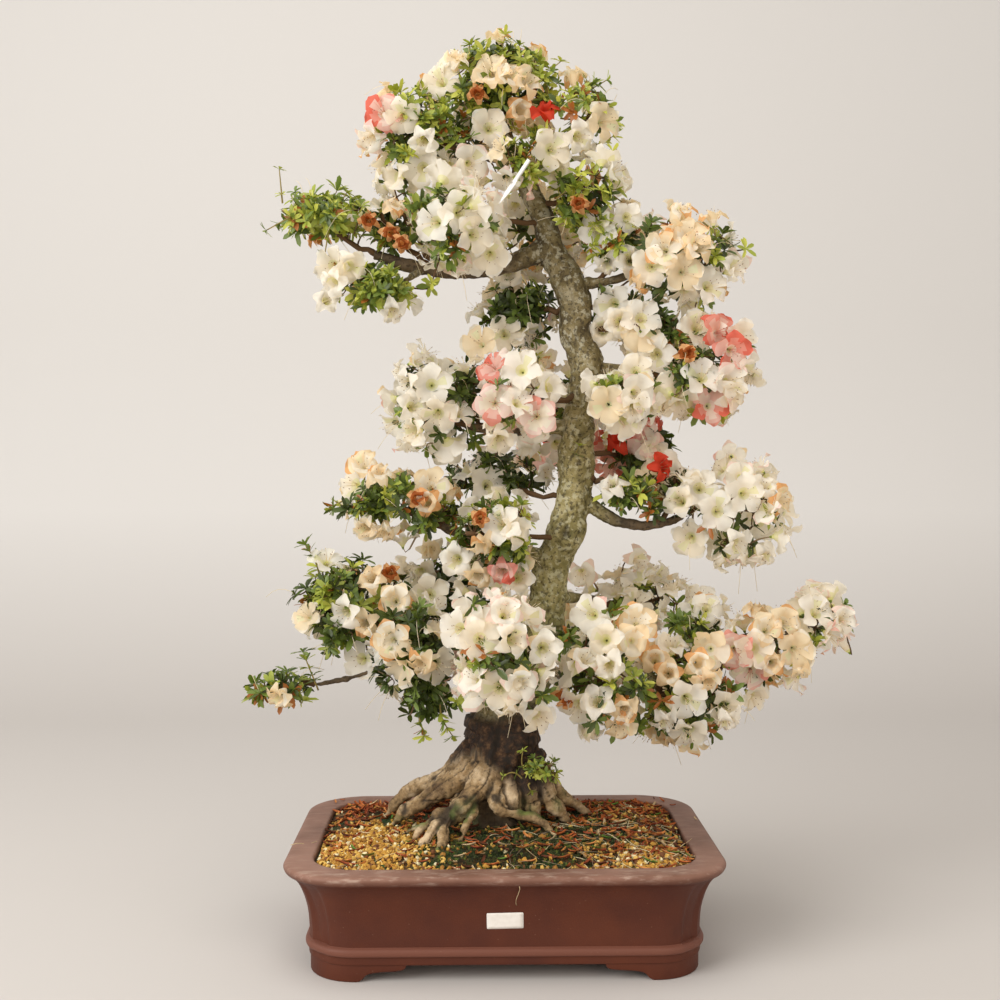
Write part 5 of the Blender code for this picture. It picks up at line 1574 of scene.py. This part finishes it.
def placeWhorls(rng, bark, flowers):
    whorls = []
    shape = sprayShape
    rims = np.array([flower["rim"] for flower in flowers])
    facings = np.array([flower["facing"] for flower in flowers])
    for px, py, reach in leafSpots:
        for _ in range(max(3, int(reach * reach / shape["spotRoom"]))):
            turn, out = rng.uniform(0, 2 * math.pi), math.sqrt(rng.random())
            right, up = out * math.cos(turn), out * math.sin(turn)
            name, rim = frontOf(px + right * reach, py - up * reach)
            facing = unitRows(np.array([0.8 * right, -0.75, 0.8 * up + 0.35]) + rng.normal(0, 0.15, 3))
            foot = rim - facing * shape["whorlDeep"] + (0, rng.uniform(0, 0.012), 0)
            whorls.append({"mass": name, "foot": foot, "facing": facing, "deep": 1.0,
                           "mood": masses[name][6], "size": rng.uniform(0.70, 1.0)})
    for name, row in masses.items():
        centre, bloom, leafy, mood = row[0], *row[4:]
        small = 0.6 if name == "base_sprig" else 1.0
        count = int(massArea(name) / (shape["whorlRoom"] * small) ** 2 * leafy)
        outer = evenDirections(max(count, 12), rng)
        inner = evenDirections(max(int(count * shape["innerWhorls"]), 10), rng)
        directions = np.vstack([outer, inner])
        directions = unitRows(directions + rng.normal(0, 0.06, directions.shape))
        share = 1.0 + rng.uniform(-0.08, 0.08, len(directions))
        share[len(outer):] *= rng.uniform(*shape["innerReach"], len(inner))
        out = (rng.random(len(directions)) < shape["shoots"]) & (directions[:, 2] > -0.1) & (share > 0.9)
        share += out * rng.uniform(0.3, 1.0, len(out)) * shape["shootOut"]
        steps = directions * (massOutline(name, directions) * share)[:, None]
        if bloom < 0.3:
            # leafy pads are flat underneath, as the shoots grow up from the bough
            steps[:, 2] *= np.where(steps[:, 2] < 0, 0.3, 0.8)
            share[len(outer):] = 0
        lean = directions + rng.normal(0, shape["whorlStray"], directions.shape)
        lean[:, 2] += shape["whorlRise"]
        lean = unitRows(lean)
        feet = centre + steps - lean * shape["whorlDeep"]
        good = ~insideOthers(centre + steps, name, shape["overlap"][1]) & (share > 0)
        good &= barkGap(feet, bark) > shape["limbClear"]
        wide, middle = shape["whorlClear"]
        for foot, facing, deep in zip(feet[good], lean[good], share[good]):
            # no leaves in the mouth of a flower: only behind its petals
            away = foot + facing * middle - rims
            ahead = (away * facings).sum(1)
            beside = np.linalg.norm(away - ahead[:, None] * facings, axis=1)
            if not np.any((ahead > -0.010) & (ahead < 0.05) & (beside < wide)):
                whorls.append({"mass": name, "foot": foot, "facing": facing, "deep": deep, "mood": mood,
                               "size": rng.uniform(0.72, 1.12) * small})
    return whorls


def placeShoots(rng):
    whorls, lines = [], []
    for foot, tip, depth, count, size in setShoots:
        start = np.array(photoPlace(*foot, depth))
        end = np.array(photoPlace(*tip, depth - 0.004))
        bend = rng.normal(0, 0.003, 3)
        t = np.linspace(0, 1, 8)[:, None]
        lines.append(start + (end - start) * t + bend * np.sin(math.pi * t))
        for share in np.linspace(1.0, 0.3, count):
            place = start + (end - start) * share + bend * math.sin(math.pi * share)
            facing = unitRows(unitRows(end - start) + rng.normal(0, 0.22, 3))
            whorls.append({"mass": nearestMass(place), "foot": place, "facing": facing, "deep": 1.0,
                           "mood": "bright", "size": size * rng.uniform(0.85, 1.1)})
    return whorls, lines


def nearestMass(place):
    return min(masses, key=lambda name: np.linalg.norm(masses[name][0] - place))


def growTwigs(heap, stem, ends, facings, rng):
    # each spray's twig leaves the nearest joint of the stem, or another twig where that is shorter
    joints = np.vstack([stem[2:], (stem[2:-1] + stem[3:]) / 2])
    order = np.argsort(np.linalg.norm(ends[:, None] - joints[None], axis=2).min(1))
    extra = np.zeros((0, 3))
    lines, radii = [], []
    t = np.linspace(0, 1, 5)[:, None]
    for i in order:
        end, facing = ends[i], facings[i]
        toStem = np.linalg.norm(joints - end, axis=1)
        best, start = toStem.min(), joints[toStem.argmin()]
        if len(extra):
            toTwig = np.linalg.norm(extra - end, axis=1)
            if toTwig.min() < best - sprayShape["secondOrder"]:
                best, start = toTwig.min(), extra[toTwig.argmin()]
        handle = end - facing * best * 0.42 + rng.normal(0, 0.06, 3) * best
        line = bowed(start, handle, end, t)
        lines.append(line)
        thick = min(1.0, 0.45 + best / 0.06)
        radii.append(np.linspace(sprayShape["twig"][0] * thick, sprayShape["twig"][1], 5))
        extra = np.vstack([extra, line[1:4]])
    addTubes(heap, np.array(lines), np.array(radii), 4, rng.choice([0, 0, 0, 2], len(lines)))


def hangStyles(heap, feet, facings, rng):
    # pale styles left over from fallen flowers: out of the whorl and down in an arc
    count = len(feet)
    t = np.linspace(0, 1, 6)[None, :, None]
    length = rng.uniform(*sprayShape["style"], count)[:, None, None]
    side = np.cross(facings, rng.normal(0, 1, (count, 3)))[:, None]
    arc = facings[:, None] * t + 0.4 * side * t * t - np.array((0, 0, 0.45)) * t**3
    lines = feet[:, None] + arc * length
    radii = np.broadcast_to(np.linspace(0.45, 0.32, 6) * mm, (count, 6))
    addTubes(heap, heldIn(lines), radii, 3, np.full(count, petalNumber["stamen"]))


def groupOf(name):
    # masses are joined in groups by where they grow, so that each joined piece stays small
    x, _, z = masses[name][0]
    if z > 0.90:
        return "top"
    if z > 0.60:
        return "middle"
    return "low_left" if x < 0.04 else "low_right"


def dealOut(heaps, things, templates, toneRow, rng):
    # things of one template are copied in one go, each with its own tones
    batches = {}
    for thing in things:
        state = thing.get("state", "leaf")
        key = (groupOf(thing["mass"]), state, int(rng.integers(len(templates[state]))))
        batches.setdefault(key, []).append(thing)
    for (group, state, version), batch in batches.items():
        shape = templates[state][version]
        facings, sizes, feet = (np.array([thing[key] for thing in batch])
                                for key in ("facing", "size", "foot"))
        frames = facingFrames(facings, rng.uniform(0, 6.28, len(batch)), sizes)
        tones = np.array([toneRow(thing, int(shape[2].max()) + 1) for thing in batch])
        addCopies(heaps[group], shape, frames, feet, tones)


def buildFoliage():
    rng = np.random.default_rng(sprayShape["seed"])
    bark = barkRows()
    flowers = placeFlowers(rng, bark)
    whorls = placeWhorls(rng, bark, flowers)
    shoots, shootLines = placeShoots(rng)
    say(f"{len(flowers)} flowers, {len(whorls)} whorls, {len(shoots)} on shoots")

    openings = (12, 28, 45)  # degrees
    templates = {"leaf": [leafTemplate(count, rng, opening) for count in (6, 7, 8) for opening in openings]}
    for state, (settings, versions) in flowerStates.items():
        templates[state] = [flowerTemplate(settings, rng, stamens=(k % 4 != 3)) for k in range(versions)]
    groups = ("top", "middle", "low_left", "low_right")
    blossom, foliage, twigs = ({group: newHeap() for group in groups} for _ in range(3))
    dealOut(blossom, flowers, templates, lambda flower, _: flowerToneRow(flower["kind"], rng), rng)
    dealOut(foliage, whorls + shoots, templates,
            lambda whorl, leaves: leafTonesFor(whorl["mood"], whorl["deep"], rng, leaves), rng)

    for name in masses:
        stem = stemPath(name)
        group = groupOf(name)
        stem[1:] += rng.normal(0, sprayShape["stemWander"], (len(stem) - 1, 3))
        radii = np.linspace(*sprayShape["stem"], len(stem)) * (0.5 if name == "base_sprig" else 1.0)
        radii *= rng.uniform(0.85, 1.25, len(stem))
        addTubes(twigs[group], stem[None], radii[None], 7, np.array([0]))
        ends = [thing for thing in flowers + whorls if thing["mass"] == name]
        if ends:
            feet = np.array([thing["foot"] for thing in ends])
            facings = np.array([thing["facing"] for thing in ends])
            growTwigs(twigs[group], stem, feet, facings, rng)
            pick = np.flatnonzero(rng.random(len(ends)) < sprayShape["styles"] * (name != "base_sprig"))
            hangStyles(blossom[group], feet[pick], facings[pick], rng)
    for line in shootLines:
        group = groupOf(nearestMass(line[0]))
        addTubes(twigs[group], line[None], np.linspace(*sprayShape["setShoot"], 8)[None], 5, np.array([1]))

    for group in groups:
        replaced = [f"foliage_{name}" for name in masses if name not in fillers and groupOf(name) == group]
        joinHeap(twigs[group], f"twigs_{group}", twigMaterials, replaced)
        joinHeap(foliage[group], f"leaves_{group}", leafMaterials, replaced)
        joinHeap(blossom[group], f"blossom_{group}", petalMaterials, replaced)


# Soil: a low mound with granules, moss, fallen petals and fine roots on it

soilShape = {
    "edge": 0.0368,  # inset from the rim
    "rimHeight": 0.1293,
    "bank": (0.010, 0.0040),  # width and height
    "plateau": (0.180, 0.128, 0.008),  # half length, half depth, and how far behind the middle
    "rough": 1.3 * mm,
    "corner": 0.052,
    "seed": 77,
    # how many, how large, and the weights of their tones
    "granules": 3300,
    "granule": (1.9 * mm, 4.4 * mm),
    "granuleTones": {"clay": 0.36, "honey": 0.24, "ochre": 0.22, "pumice": 0.08, "brick": 0.10},
    "petals": 1100,
    "petal": (4.5 * mm, 10.5 * mm),
    "petalTones": {"orange": 0.36, "red": 0.22, "amber": 0.18, "umber": 0.16, "straw": 0.08},
    "leaves": 48,
    "leaf": (5, 9),  # mm
    "tufts": 2600,
    "tuft": (2.2 * mm, 4.6 * mm),
    "tuftTones": {"moss": 0.45, "deepMoss": 0.38, "freshMoss": 0.17},
    "rootlets": 170,
    "rootlet": (0.012, 0.048),
    "rootletThick": (0.55 * mm, 0.25 * mm),
    # bits that lie on the lip: pixel, half length in millimetres, turn and tone
    "onLip": (
        (335, 803, 6, 0.2, "amber"), (342, 801, 4, 1.4, "orange"), (663, 803, 7, 0.4, "orange"),
        (674, 808, 5, 1.9, "red"), (697, 822, 5, 0.3, "straw"), (655, 801, 4, 0.0, "umber"),
    ),
    "onLipIn": 9.0 * mm,  # they stay this far inside its edge
    # fine roots on the lip and down the front: pixels of the ends, and the heights there
    "strays": (
        ((290, 846), (316, 843), 0.1375, 0.1375), ((682, 850), (693, 842), 0.1375, 0.1375),
        ((519, 885), (516, 909), 0.125, 0.095),
    ),
}
litterTones = {
    "clay": "#B98A36", "honey": "#D6B05A", "ochre": "#9C6E2C", "pumice": "#E6DAB0", "brick": "#6E4322",
    "orange": "#B4622E", "red": "#8F421F", "amber": "#CB8748", "umber": "#63351C",
    "moss": "#434A20", "deepMoss": "#2B2F14", "freshMoss": "#6E7A30", "straw": "#C9B28A", "root": "#8D7B66",
    "leaf": "#5F8A34",
}
litterNumber = {name: i for i, name in enumerate(litterTones)}


def soilHalves(margin):
    # half the length and the depth of the soil, less a margin
    return [potShape[side] / 2 - soilShape["edge"] - margin for side in ("length", "depth")]


def soilHeight(x, y):
    # the mound: a short bank inside the wall, a slope, and a flat middle that carries the roots
    halfX, halfY = soilHalves(0.0)
    fromEdge = np.minimum(halfX - np.abs(x), halfY - np.abs(y))
    length, depth, back = soilShape["plateau"]
    outward = np.sqrt((x / length) ** 2 + ((y - back) / depth) ** 2)
    wide, high = soilShape["bank"]
    bank = soilShape["rimHeight"] + high * np.clip(fromEdge / wide, 0.0, 1.0)
    rise = np.clip(fromEdge - wide, 0.0, None)
    slope = rise / (rise + np.clip(outward - 1.0, 0.0, None) * 0.15 + 1e-6)
    return bank + (ground - 0.0004 - bank) * slope


def grittySoil():
    # baked clay granules over peat, dark and damp, green with moss in patches
    material, shader, add, where = patterned("clay_granules_and_peat", 0.95)
    patch = add("TexNoise", {"Vector": where, "Scale": 1 / 0.035, "Detail": 4.0})
    crumb = add("TexNoise", {"Vector": where, "Scale": 1 / 0.0030, "Detail": 3.0})
    earth = add("ValToRGB", {"Fac": crumb}, stops=((0.35, "#2A1D10"), (0.55, "#5A4020"), (0.72, "#8A6A34")))
    moss = add("ValToRGB", {"Fac": crumb}, stops=((0.35, "#1C2A10"), (0.70, "#44602A")))
    green = add("MapRange", {"Value": patch, "From Min": 0.46, "From Max": 0.56})
    tone = add("MixRGB", {"Fac": green, "Color1": earth, "Color2": moss})
    relief = add("Bump", {"Height": crumb, "Strength": 0.8, "Distance": 1.5 * mm})
    feed(shader, {"Base Color": tone, "Normal": relief})
    return material


def buildSoil():
    below = [(0.0488, 0.0343), (0.0440, 0.0403), (0.0399, 0.0803), (0.0369, 0.1200)]
    rings = [potOutline(inset, height) for inset, height in below]
    rim = np.array(potOutline(soilShape["edge"], soilShape["rimHeight"]))
    for share in np.linspace(0.0, 1.0, 56)[:-1]:
        ring = rim * (1.0 - share)
        rough = np.array([noise.noise(Vector((x, y, 0.0)) * 90) for x, y, _ in ring]) * soilShape["rough"]
        ring[:, 2] = soilHeight(ring[:, 0], ring[:, 1]) + rough * min(1.0, share * 8) - 0.8 * mm
        rings.append([tuple(point) for point in ring])
    settle(meshFrom(growRings(rings), "soil"), "soil_mound", [grittySoil()], ["soil"])


def litterSpots(count, rng, keep):
    # places on the soil that are free of wood, kept by the share that a rule gives each
    halfX, halfY = soilHalves(0.003)
    corner = soilShape["corner"]
    limbs = [path for name, path in paths.items() if name.startswith(("root", "trunk"))]
    line, widths = map(np.concatenate, zip(*limbs))
    low = line[:, 2] - widths < ground + 0.006
    wood = np.column_stack([line[:, :2], widths * 0.9 + 0.5 * mm])[low]
    found = []
    while len(found) < count:
        x = rng.uniform(-halfX, halfX, 4 * count)
        y = rng.uniform(-halfY, halfY, 4 * count)
        cut = (np.abs(x) > halfX - corner) & (np.abs(y) > halfY - corner)
        far = np.hypot(np.abs(x) - halfX + corner, np.abs(y) - halfY + corner) > corner
        free = ~(cut & far) & (rng.random(len(x)) < keep(x, y))
        x, y = x[free], y[free]
        clear = (np.hypot(x[:, None] - wood[:, 0], y[:, None] - wood[:, 1]) > wood[:, 2]).all(1)
        found += list(zip(x[clear], y[clear]))
    spots = np.array(found[:count])
    return np.column_stack([spots, soilHeight(spots[:, 0], spots[:, 1])])


def patchAt(x, y, placeX, placeY, wideX, wideY):
    return np.exp(-(((x - placeX) / wideX) ** 2 + ((y - placeY) / wideY) ** 2))


def gritZone(x, y):
    # ochre granules show most at the front left, the front right and along the rim
    left = patchAt(x, y, -0.175, -0.085, 0.065, 0.070)
    right = patchAt(x, y, 0.170, -0.125, 0.055, 0.040)
    front = np.exp(-(((y + 0.162) / 0.010) ** 2)) * 0.4
    far = patchAt(x, y, 0.19, 0.06, 0.05, 0.08)
    return np.clip(1.2 * left + 0.9 * right + front + 0.3 * far + 0.05, 0.0, 1.0)


def mossZone(x, y):
    middle = patchAt(x, y, 0.005, -0.090, 0.105, 0.070)
    right = patchAt(x, y, 0.110, -0.010, 0.070, 0.090)
    return np.clip(1.3 * middle + right, 0.0, 1.0) * (1.0 - 0.85 * gritZone(x, y))


def petalZone(x, y):
    back = smoothStep(y, -0.03, 0.08)
    return np.clip(0.35 + 0.65 * back + 0.35 * smoothStep(x, 0.02, 0.15), 0.0, 1.0)


def rootZone(x, y):
    return 0.15 + 0.85 * smoothStep(x, -0.03, 0.10) * smoothStep(-y, -0.1, 0.0)


def litterToneRow(kind, count, rng):
    weights = soilShape[kind]
    return rng.choice([litterNumber[name] for name in weights], count, p=list(weights.values()))[:, None]


def granules(heap, rng):
    shapes = []
    for k in range(5):
        bm = bmesh.new()
        bmesh.ops.create_icosphere(bm, subdivisions=1, radius=1.0)
        for vert in bm.verts:
            vert.co *= rng.uniform(0.60, 1.18)
            vert.co.z *= 0.72
        shapes.append(templateFrom(bm))
    count = soilShape["granules"]
    spots = litterSpots(count, rng, gritZone)
    sizes = rng.uniform(*soilShape["granule"], count) * np.where(rng.random(count) < 0.08, 1.25, 1.0)
    spots[:, 2] += sizes * rng.uniform(-0.2, 0.35, count)
    facings = rng.normal(0, 1, (count, 3))
    frames = facingFrames(facings, rng.uniform(0, 6.28, count), sizes)
    tones = litterToneRow("granuleTones", count, rng)
    for k, shape in enumerate(shapes):
        pick = np.arange(count) % len(shapes) == k
        addCopies(heap, shape, frames[pick], spots[pick], tones[pick])


def fallenPetals(heap, rng):
    # curled petals in four shapes, and a few green leaves among them
    for k in range(4):
        bm = bmesh.new()
        bmesh.ops.create_grid(bm, x_segments=2, y_segments=3, size=0.5)
        curl = rng.uniform(0.5, 1.6)
        for vert in bm.verts:
            s, t = vert.co.x * 2, vert.co.y * 2
            wide = 0.32 * math.cos(t * 1.15) * rng.uniform(0.8, 1.2)
            vert.co = (t, -s * wide * math.cos(s * curl * 0.5), 0.35 * abs(s) * curl * 0.5 + 0.18 * t * t)
        shape = templateFrom(bm)
        count = soilShape["petals"] // 4
        spots = litterSpots(count, rng, petalZone)
        sizes = rng.uniform(*soilShape["petal"], count)
        spots[:, 2] += rng.uniform(0.8, 2.0, count) * mm
        ups = rng.normal(0, 0.22, (count, 3)) + (0, 0, 1.0)
        tones = litterToneRow("petalTones", count, rng)
        addCopies(heap, shape, facingFrames(ups, rng.uniform(0, 6.28, count), sizes), spots, tones)
        count = soilShape["leaves"] // 4
        spots = litterSpots(count, rng, petalZone) + (0, 0, 2.5 * mm)
        ups = rng.normal(0, 0.25, (count, 3)) + (0, 0, 1.0)
        tones = rng.choice([litterNumber["leaf"], litterNumber["freshMoss"]], count)[:, None]
        turns = rng.uniform(0, 6.28, count)
        sizes = rng.uniform(*soilShape["leaf"], count) * mm
        addCopies(heap, shape, facingFrames(ups, turns, sizes), spots, tones)
    for px, py, size, turn, name in soilShape["onLip"]:
        place = np.array(groundPlace(px, py, potShape["height"] + 1.0 * mm))
        place[1] = min(place[1], potShape["depth"] / 2 - soilShape["onLipIn"])
        frames = facingFrames(np.array([[0.1, -0.2, 1.0]]), np.array([turn]), [size * mm])
        addCopies(heap, shape, frames, place[None], np.array([[litterNumber[name]]]))


def mossTufts(heap, rng):
    # six thin blades to a tuft
    bm = bmesh.new()
    for k in range(6):
        blade = bmesh.ops.create_cone(bm, segments=3, radius1=0.22, radius2=0.03, depth=1.0,
                                      matrix=Matrix.Translation((0, 0, 0.45)))["verts"]
        lean = Matrix.Rotation(rng.uniform(0.25, 0.9), 3, "X")
        turn = Matrix.Rotation(2 * math.pi * k / 6, 3, "Z")
        bmesh.ops.rotate(bm, matrix=turn @ lean, verts=blade)
    shape = templateFrom(bm)
    count = soilShape["tufts"]
    spots = litterSpots(count, rng, mossZone)
    sizes = rng.uniform(*soilShape["tuft"], count)
    ups = rng.normal(0, 0.2, (count, 3)) + (0, 0, 1.0)
    tones = litterToneRow("tuftTones", count, rng)
    addCopies(heap, shape, facingFrames(ups, rng.uniform(0, 6.28, count), sizes), spots, tones)


def rootlets(heap, rng):
    # fine roots in shallow bows on the soil, and a few that strayed onto the lip and down the front
    count = soilShape["rootlets"]
    spots = litterSpots(count, rng, rootZone)
    angle = rng.uniform(0, 6.28, count)
    length = rng.uniform(*soilShape["rootlet"], count)
    t = np.linspace(0, 1, 6)
    ahead = np.stack([np.cos(angle), np.sin(angle), 0 * angle], axis=1)
    beside = np.stack([-np.sin(angle), np.cos(angle), 0 * angle], axis=1)
    lines = spots[:, None] + ahead[:, None] * (t[None, :, None] - 0.5) * length[:, None, None]
    bow = np.sin(t * 3.1)
    lines += beside[:, None] * (bow[None, :, None] * rng.normal(0, 0.004, count)[:, None, None])
    halves = np.array(soilHalves(0.004))
    lines[:, :, :2] = np.clip(lines[:, :, :2], -halves, halves)
    lines[:, :, 2] = soilHeight(lines[:, :, 0], lines[:, :, 1]) + 1.8 * mm + 1.6 * mm * bow
    radii = np.broadcast_to(np.linspace(*soilShape["rootletThick"], 6), (count, 6))
    tones = rng.choice([litterNumber[name] for name in ("straw", "root", "pumice")], count)
    addTubes(heap, lines, radii, 3, tones)
    for start, end, high, low in soilShape["strays"]:
        ends = [np.array(groundPlace(*start, high)), np.array(groundPlace(*end, low))]
        if low < high:  # against the wall
            for point, height in zip(ends, (high, low)):
                point[1] = -potShape["depth"] / 2 + wallInset(height) - 0.6 * mm
        line = ends[0] + (ends[1] - ends[0]) * t[:, None]
        line += np.array([1.5 * mm, 0, 1.5 * mm]) * np.sin(t * 7.0)[:, None]
        radii = np.linspace(0.6, 0.35, 6)[None] * mm
        addTubes(heap, line[None], radii, 3, np.array([litterNumber["straw"]]))


def buildLitter():
    rng = np.random.default_rng(soilShape["seed"])
    materials = [plainTone(f"litter_{name}", colour, 0.85) for name, colour in litterTones.items()]
    kinds = {
        "clay_granules": granules, "fallen_petals": fallenPetals,
        "moss_tufts": mossTufts, "rootlets_and_twigs": rootlets,
    }
    for name, strew in kinds.items():
        heap = newHeap()
        strew(heap, rng)
        piece = joinHeap(heap, name, materials)
        if name == "clay_granules":
            piece.data.shade_flat()


# Stage: a plain pale floor that turns up into a backdrop, soft light from the left, the camera

# place, what it points at, size, power and colour
lamps = {
    "window": ((-2.7, -2.1, 2.0), (0.0, 0.0, 0.60), (2.2, 2.2), 101, "#FFFDFA"),
    "fill": ((1.6, -3.0, 1.2), (0.0, 0.0, 0.6), (2.0, 2.0), 26, "#FFF0DE"),
    "top": ((-0.4, -0.6, 3.4), (0.0, 0.1, 0.4), (2.2, 1.6), 34, "#FFFAF4"),
}
stageShape = {"half": 4.5, "front": -3.2, "back": 2.6, "bend": 1.1, "height": 4.2}


def palePaint():
    # matt emulsion on a smooth board, darker towards the floor, which is painted shade
    material, shader, add, where = patterned("pale_matt_paint", 0.9)
    split = add("SeparateXYZ", {"Vector": where})
    rise = add("MapRange", {"Value": split.outputs["Z"], "From Min": 0.0, "From Max": 0.5})
    # the floor's darker tone is painted shade
    tone = add("ValToRGB", {"Fac": rise}, stops=((0.0, "#C4C0BC"), (1.0, "#DAD8D5")))
    feed(shader, {"Base Color": tone})
    return material


def buildStage():
    # one edge, extruded along the floor, up through a bend and up the wall
    half, front, back, bend, height = stageShape.values()
    bm = bmesh.new()
    edges = [bm.edges.new([bm.verts.new((x, front, 0.0)) for x in (-half, half)])]
    angles = np.linspace(0, math.pi / 2, 13)
    arc = [(bend * math.sin(a), bend * (1 - math.cos(a))) for a in angles]
    turns = [(b[0] - a[0], b[1] - a[1]) for a, b in zip(arc, arc[1:])]
    steps = [(back - bend - front, 0.0), *turns, (0.0, height - bend)]
    for forward, up in steps:
        verts, edges = extruded(bm, edges)
        bmesh.ops.translate(bm, vec=(0.0, forward, up), verts=verts)
    bmesh.ops.recalc_face_normals(bm, faces=bm.faces[:])
    mesh = meshFrom(bm, "backdrop")
    mesh.materials.append(palePaint())
    mesh.shade_smooth()
    backdrop = newObject("backdrop", mesh)


def addLight(name, place, aim, size, power, colour):
    light = bpy.data.lights.new(name, "AREA")
    light.shape = "RECTANGLE"
    light.size, light.size_y = size
    light.energy = power
    light.color = tint(colour)[:3]
    lamp = newObject(name, light)
    lamp.location = place
    lamp.rotation_euler = (Vector(aim) - Vector(place)).to_track_quat("-Z", "Y").to_euler()


def lightAndShoot():
    scene = bpy.context.scene
    scene.view_settings.view_transform = "Standard"
    world = bpy.data.worlds.new("studio")
    scene.world = world
    world.use_nodes = True
    sky = world.node_tree.nodes["Background"]
    sky.inputs["Color"].default_value = tint("#F2EDE8")
    sky.inputs["Strength"].default_value = 0.75
    for name, row in lamps.items():
        addLight(name, *row)
    camera = bpy.data.cameras.new("photo_camera")
    camera.sensor_width = photo["sensor"]
    camera.lens = photo["lens"]
    shooter = newObject("photo_camera", camera)
    shooter.location = potMiddle + Vector(photo["place"])
    shooter.rotation_euler = (math.pi / 2 - photo["down"], 0.0, -photo["turned"])
    scene.camera = shooter


layLimbs()
buildPot()
buildLabel()
buildTag()
buildSoil()
buildLitter()
buildWood()
buildFoliage()
buildStage()
lightAndShoot()
say("scene ready")
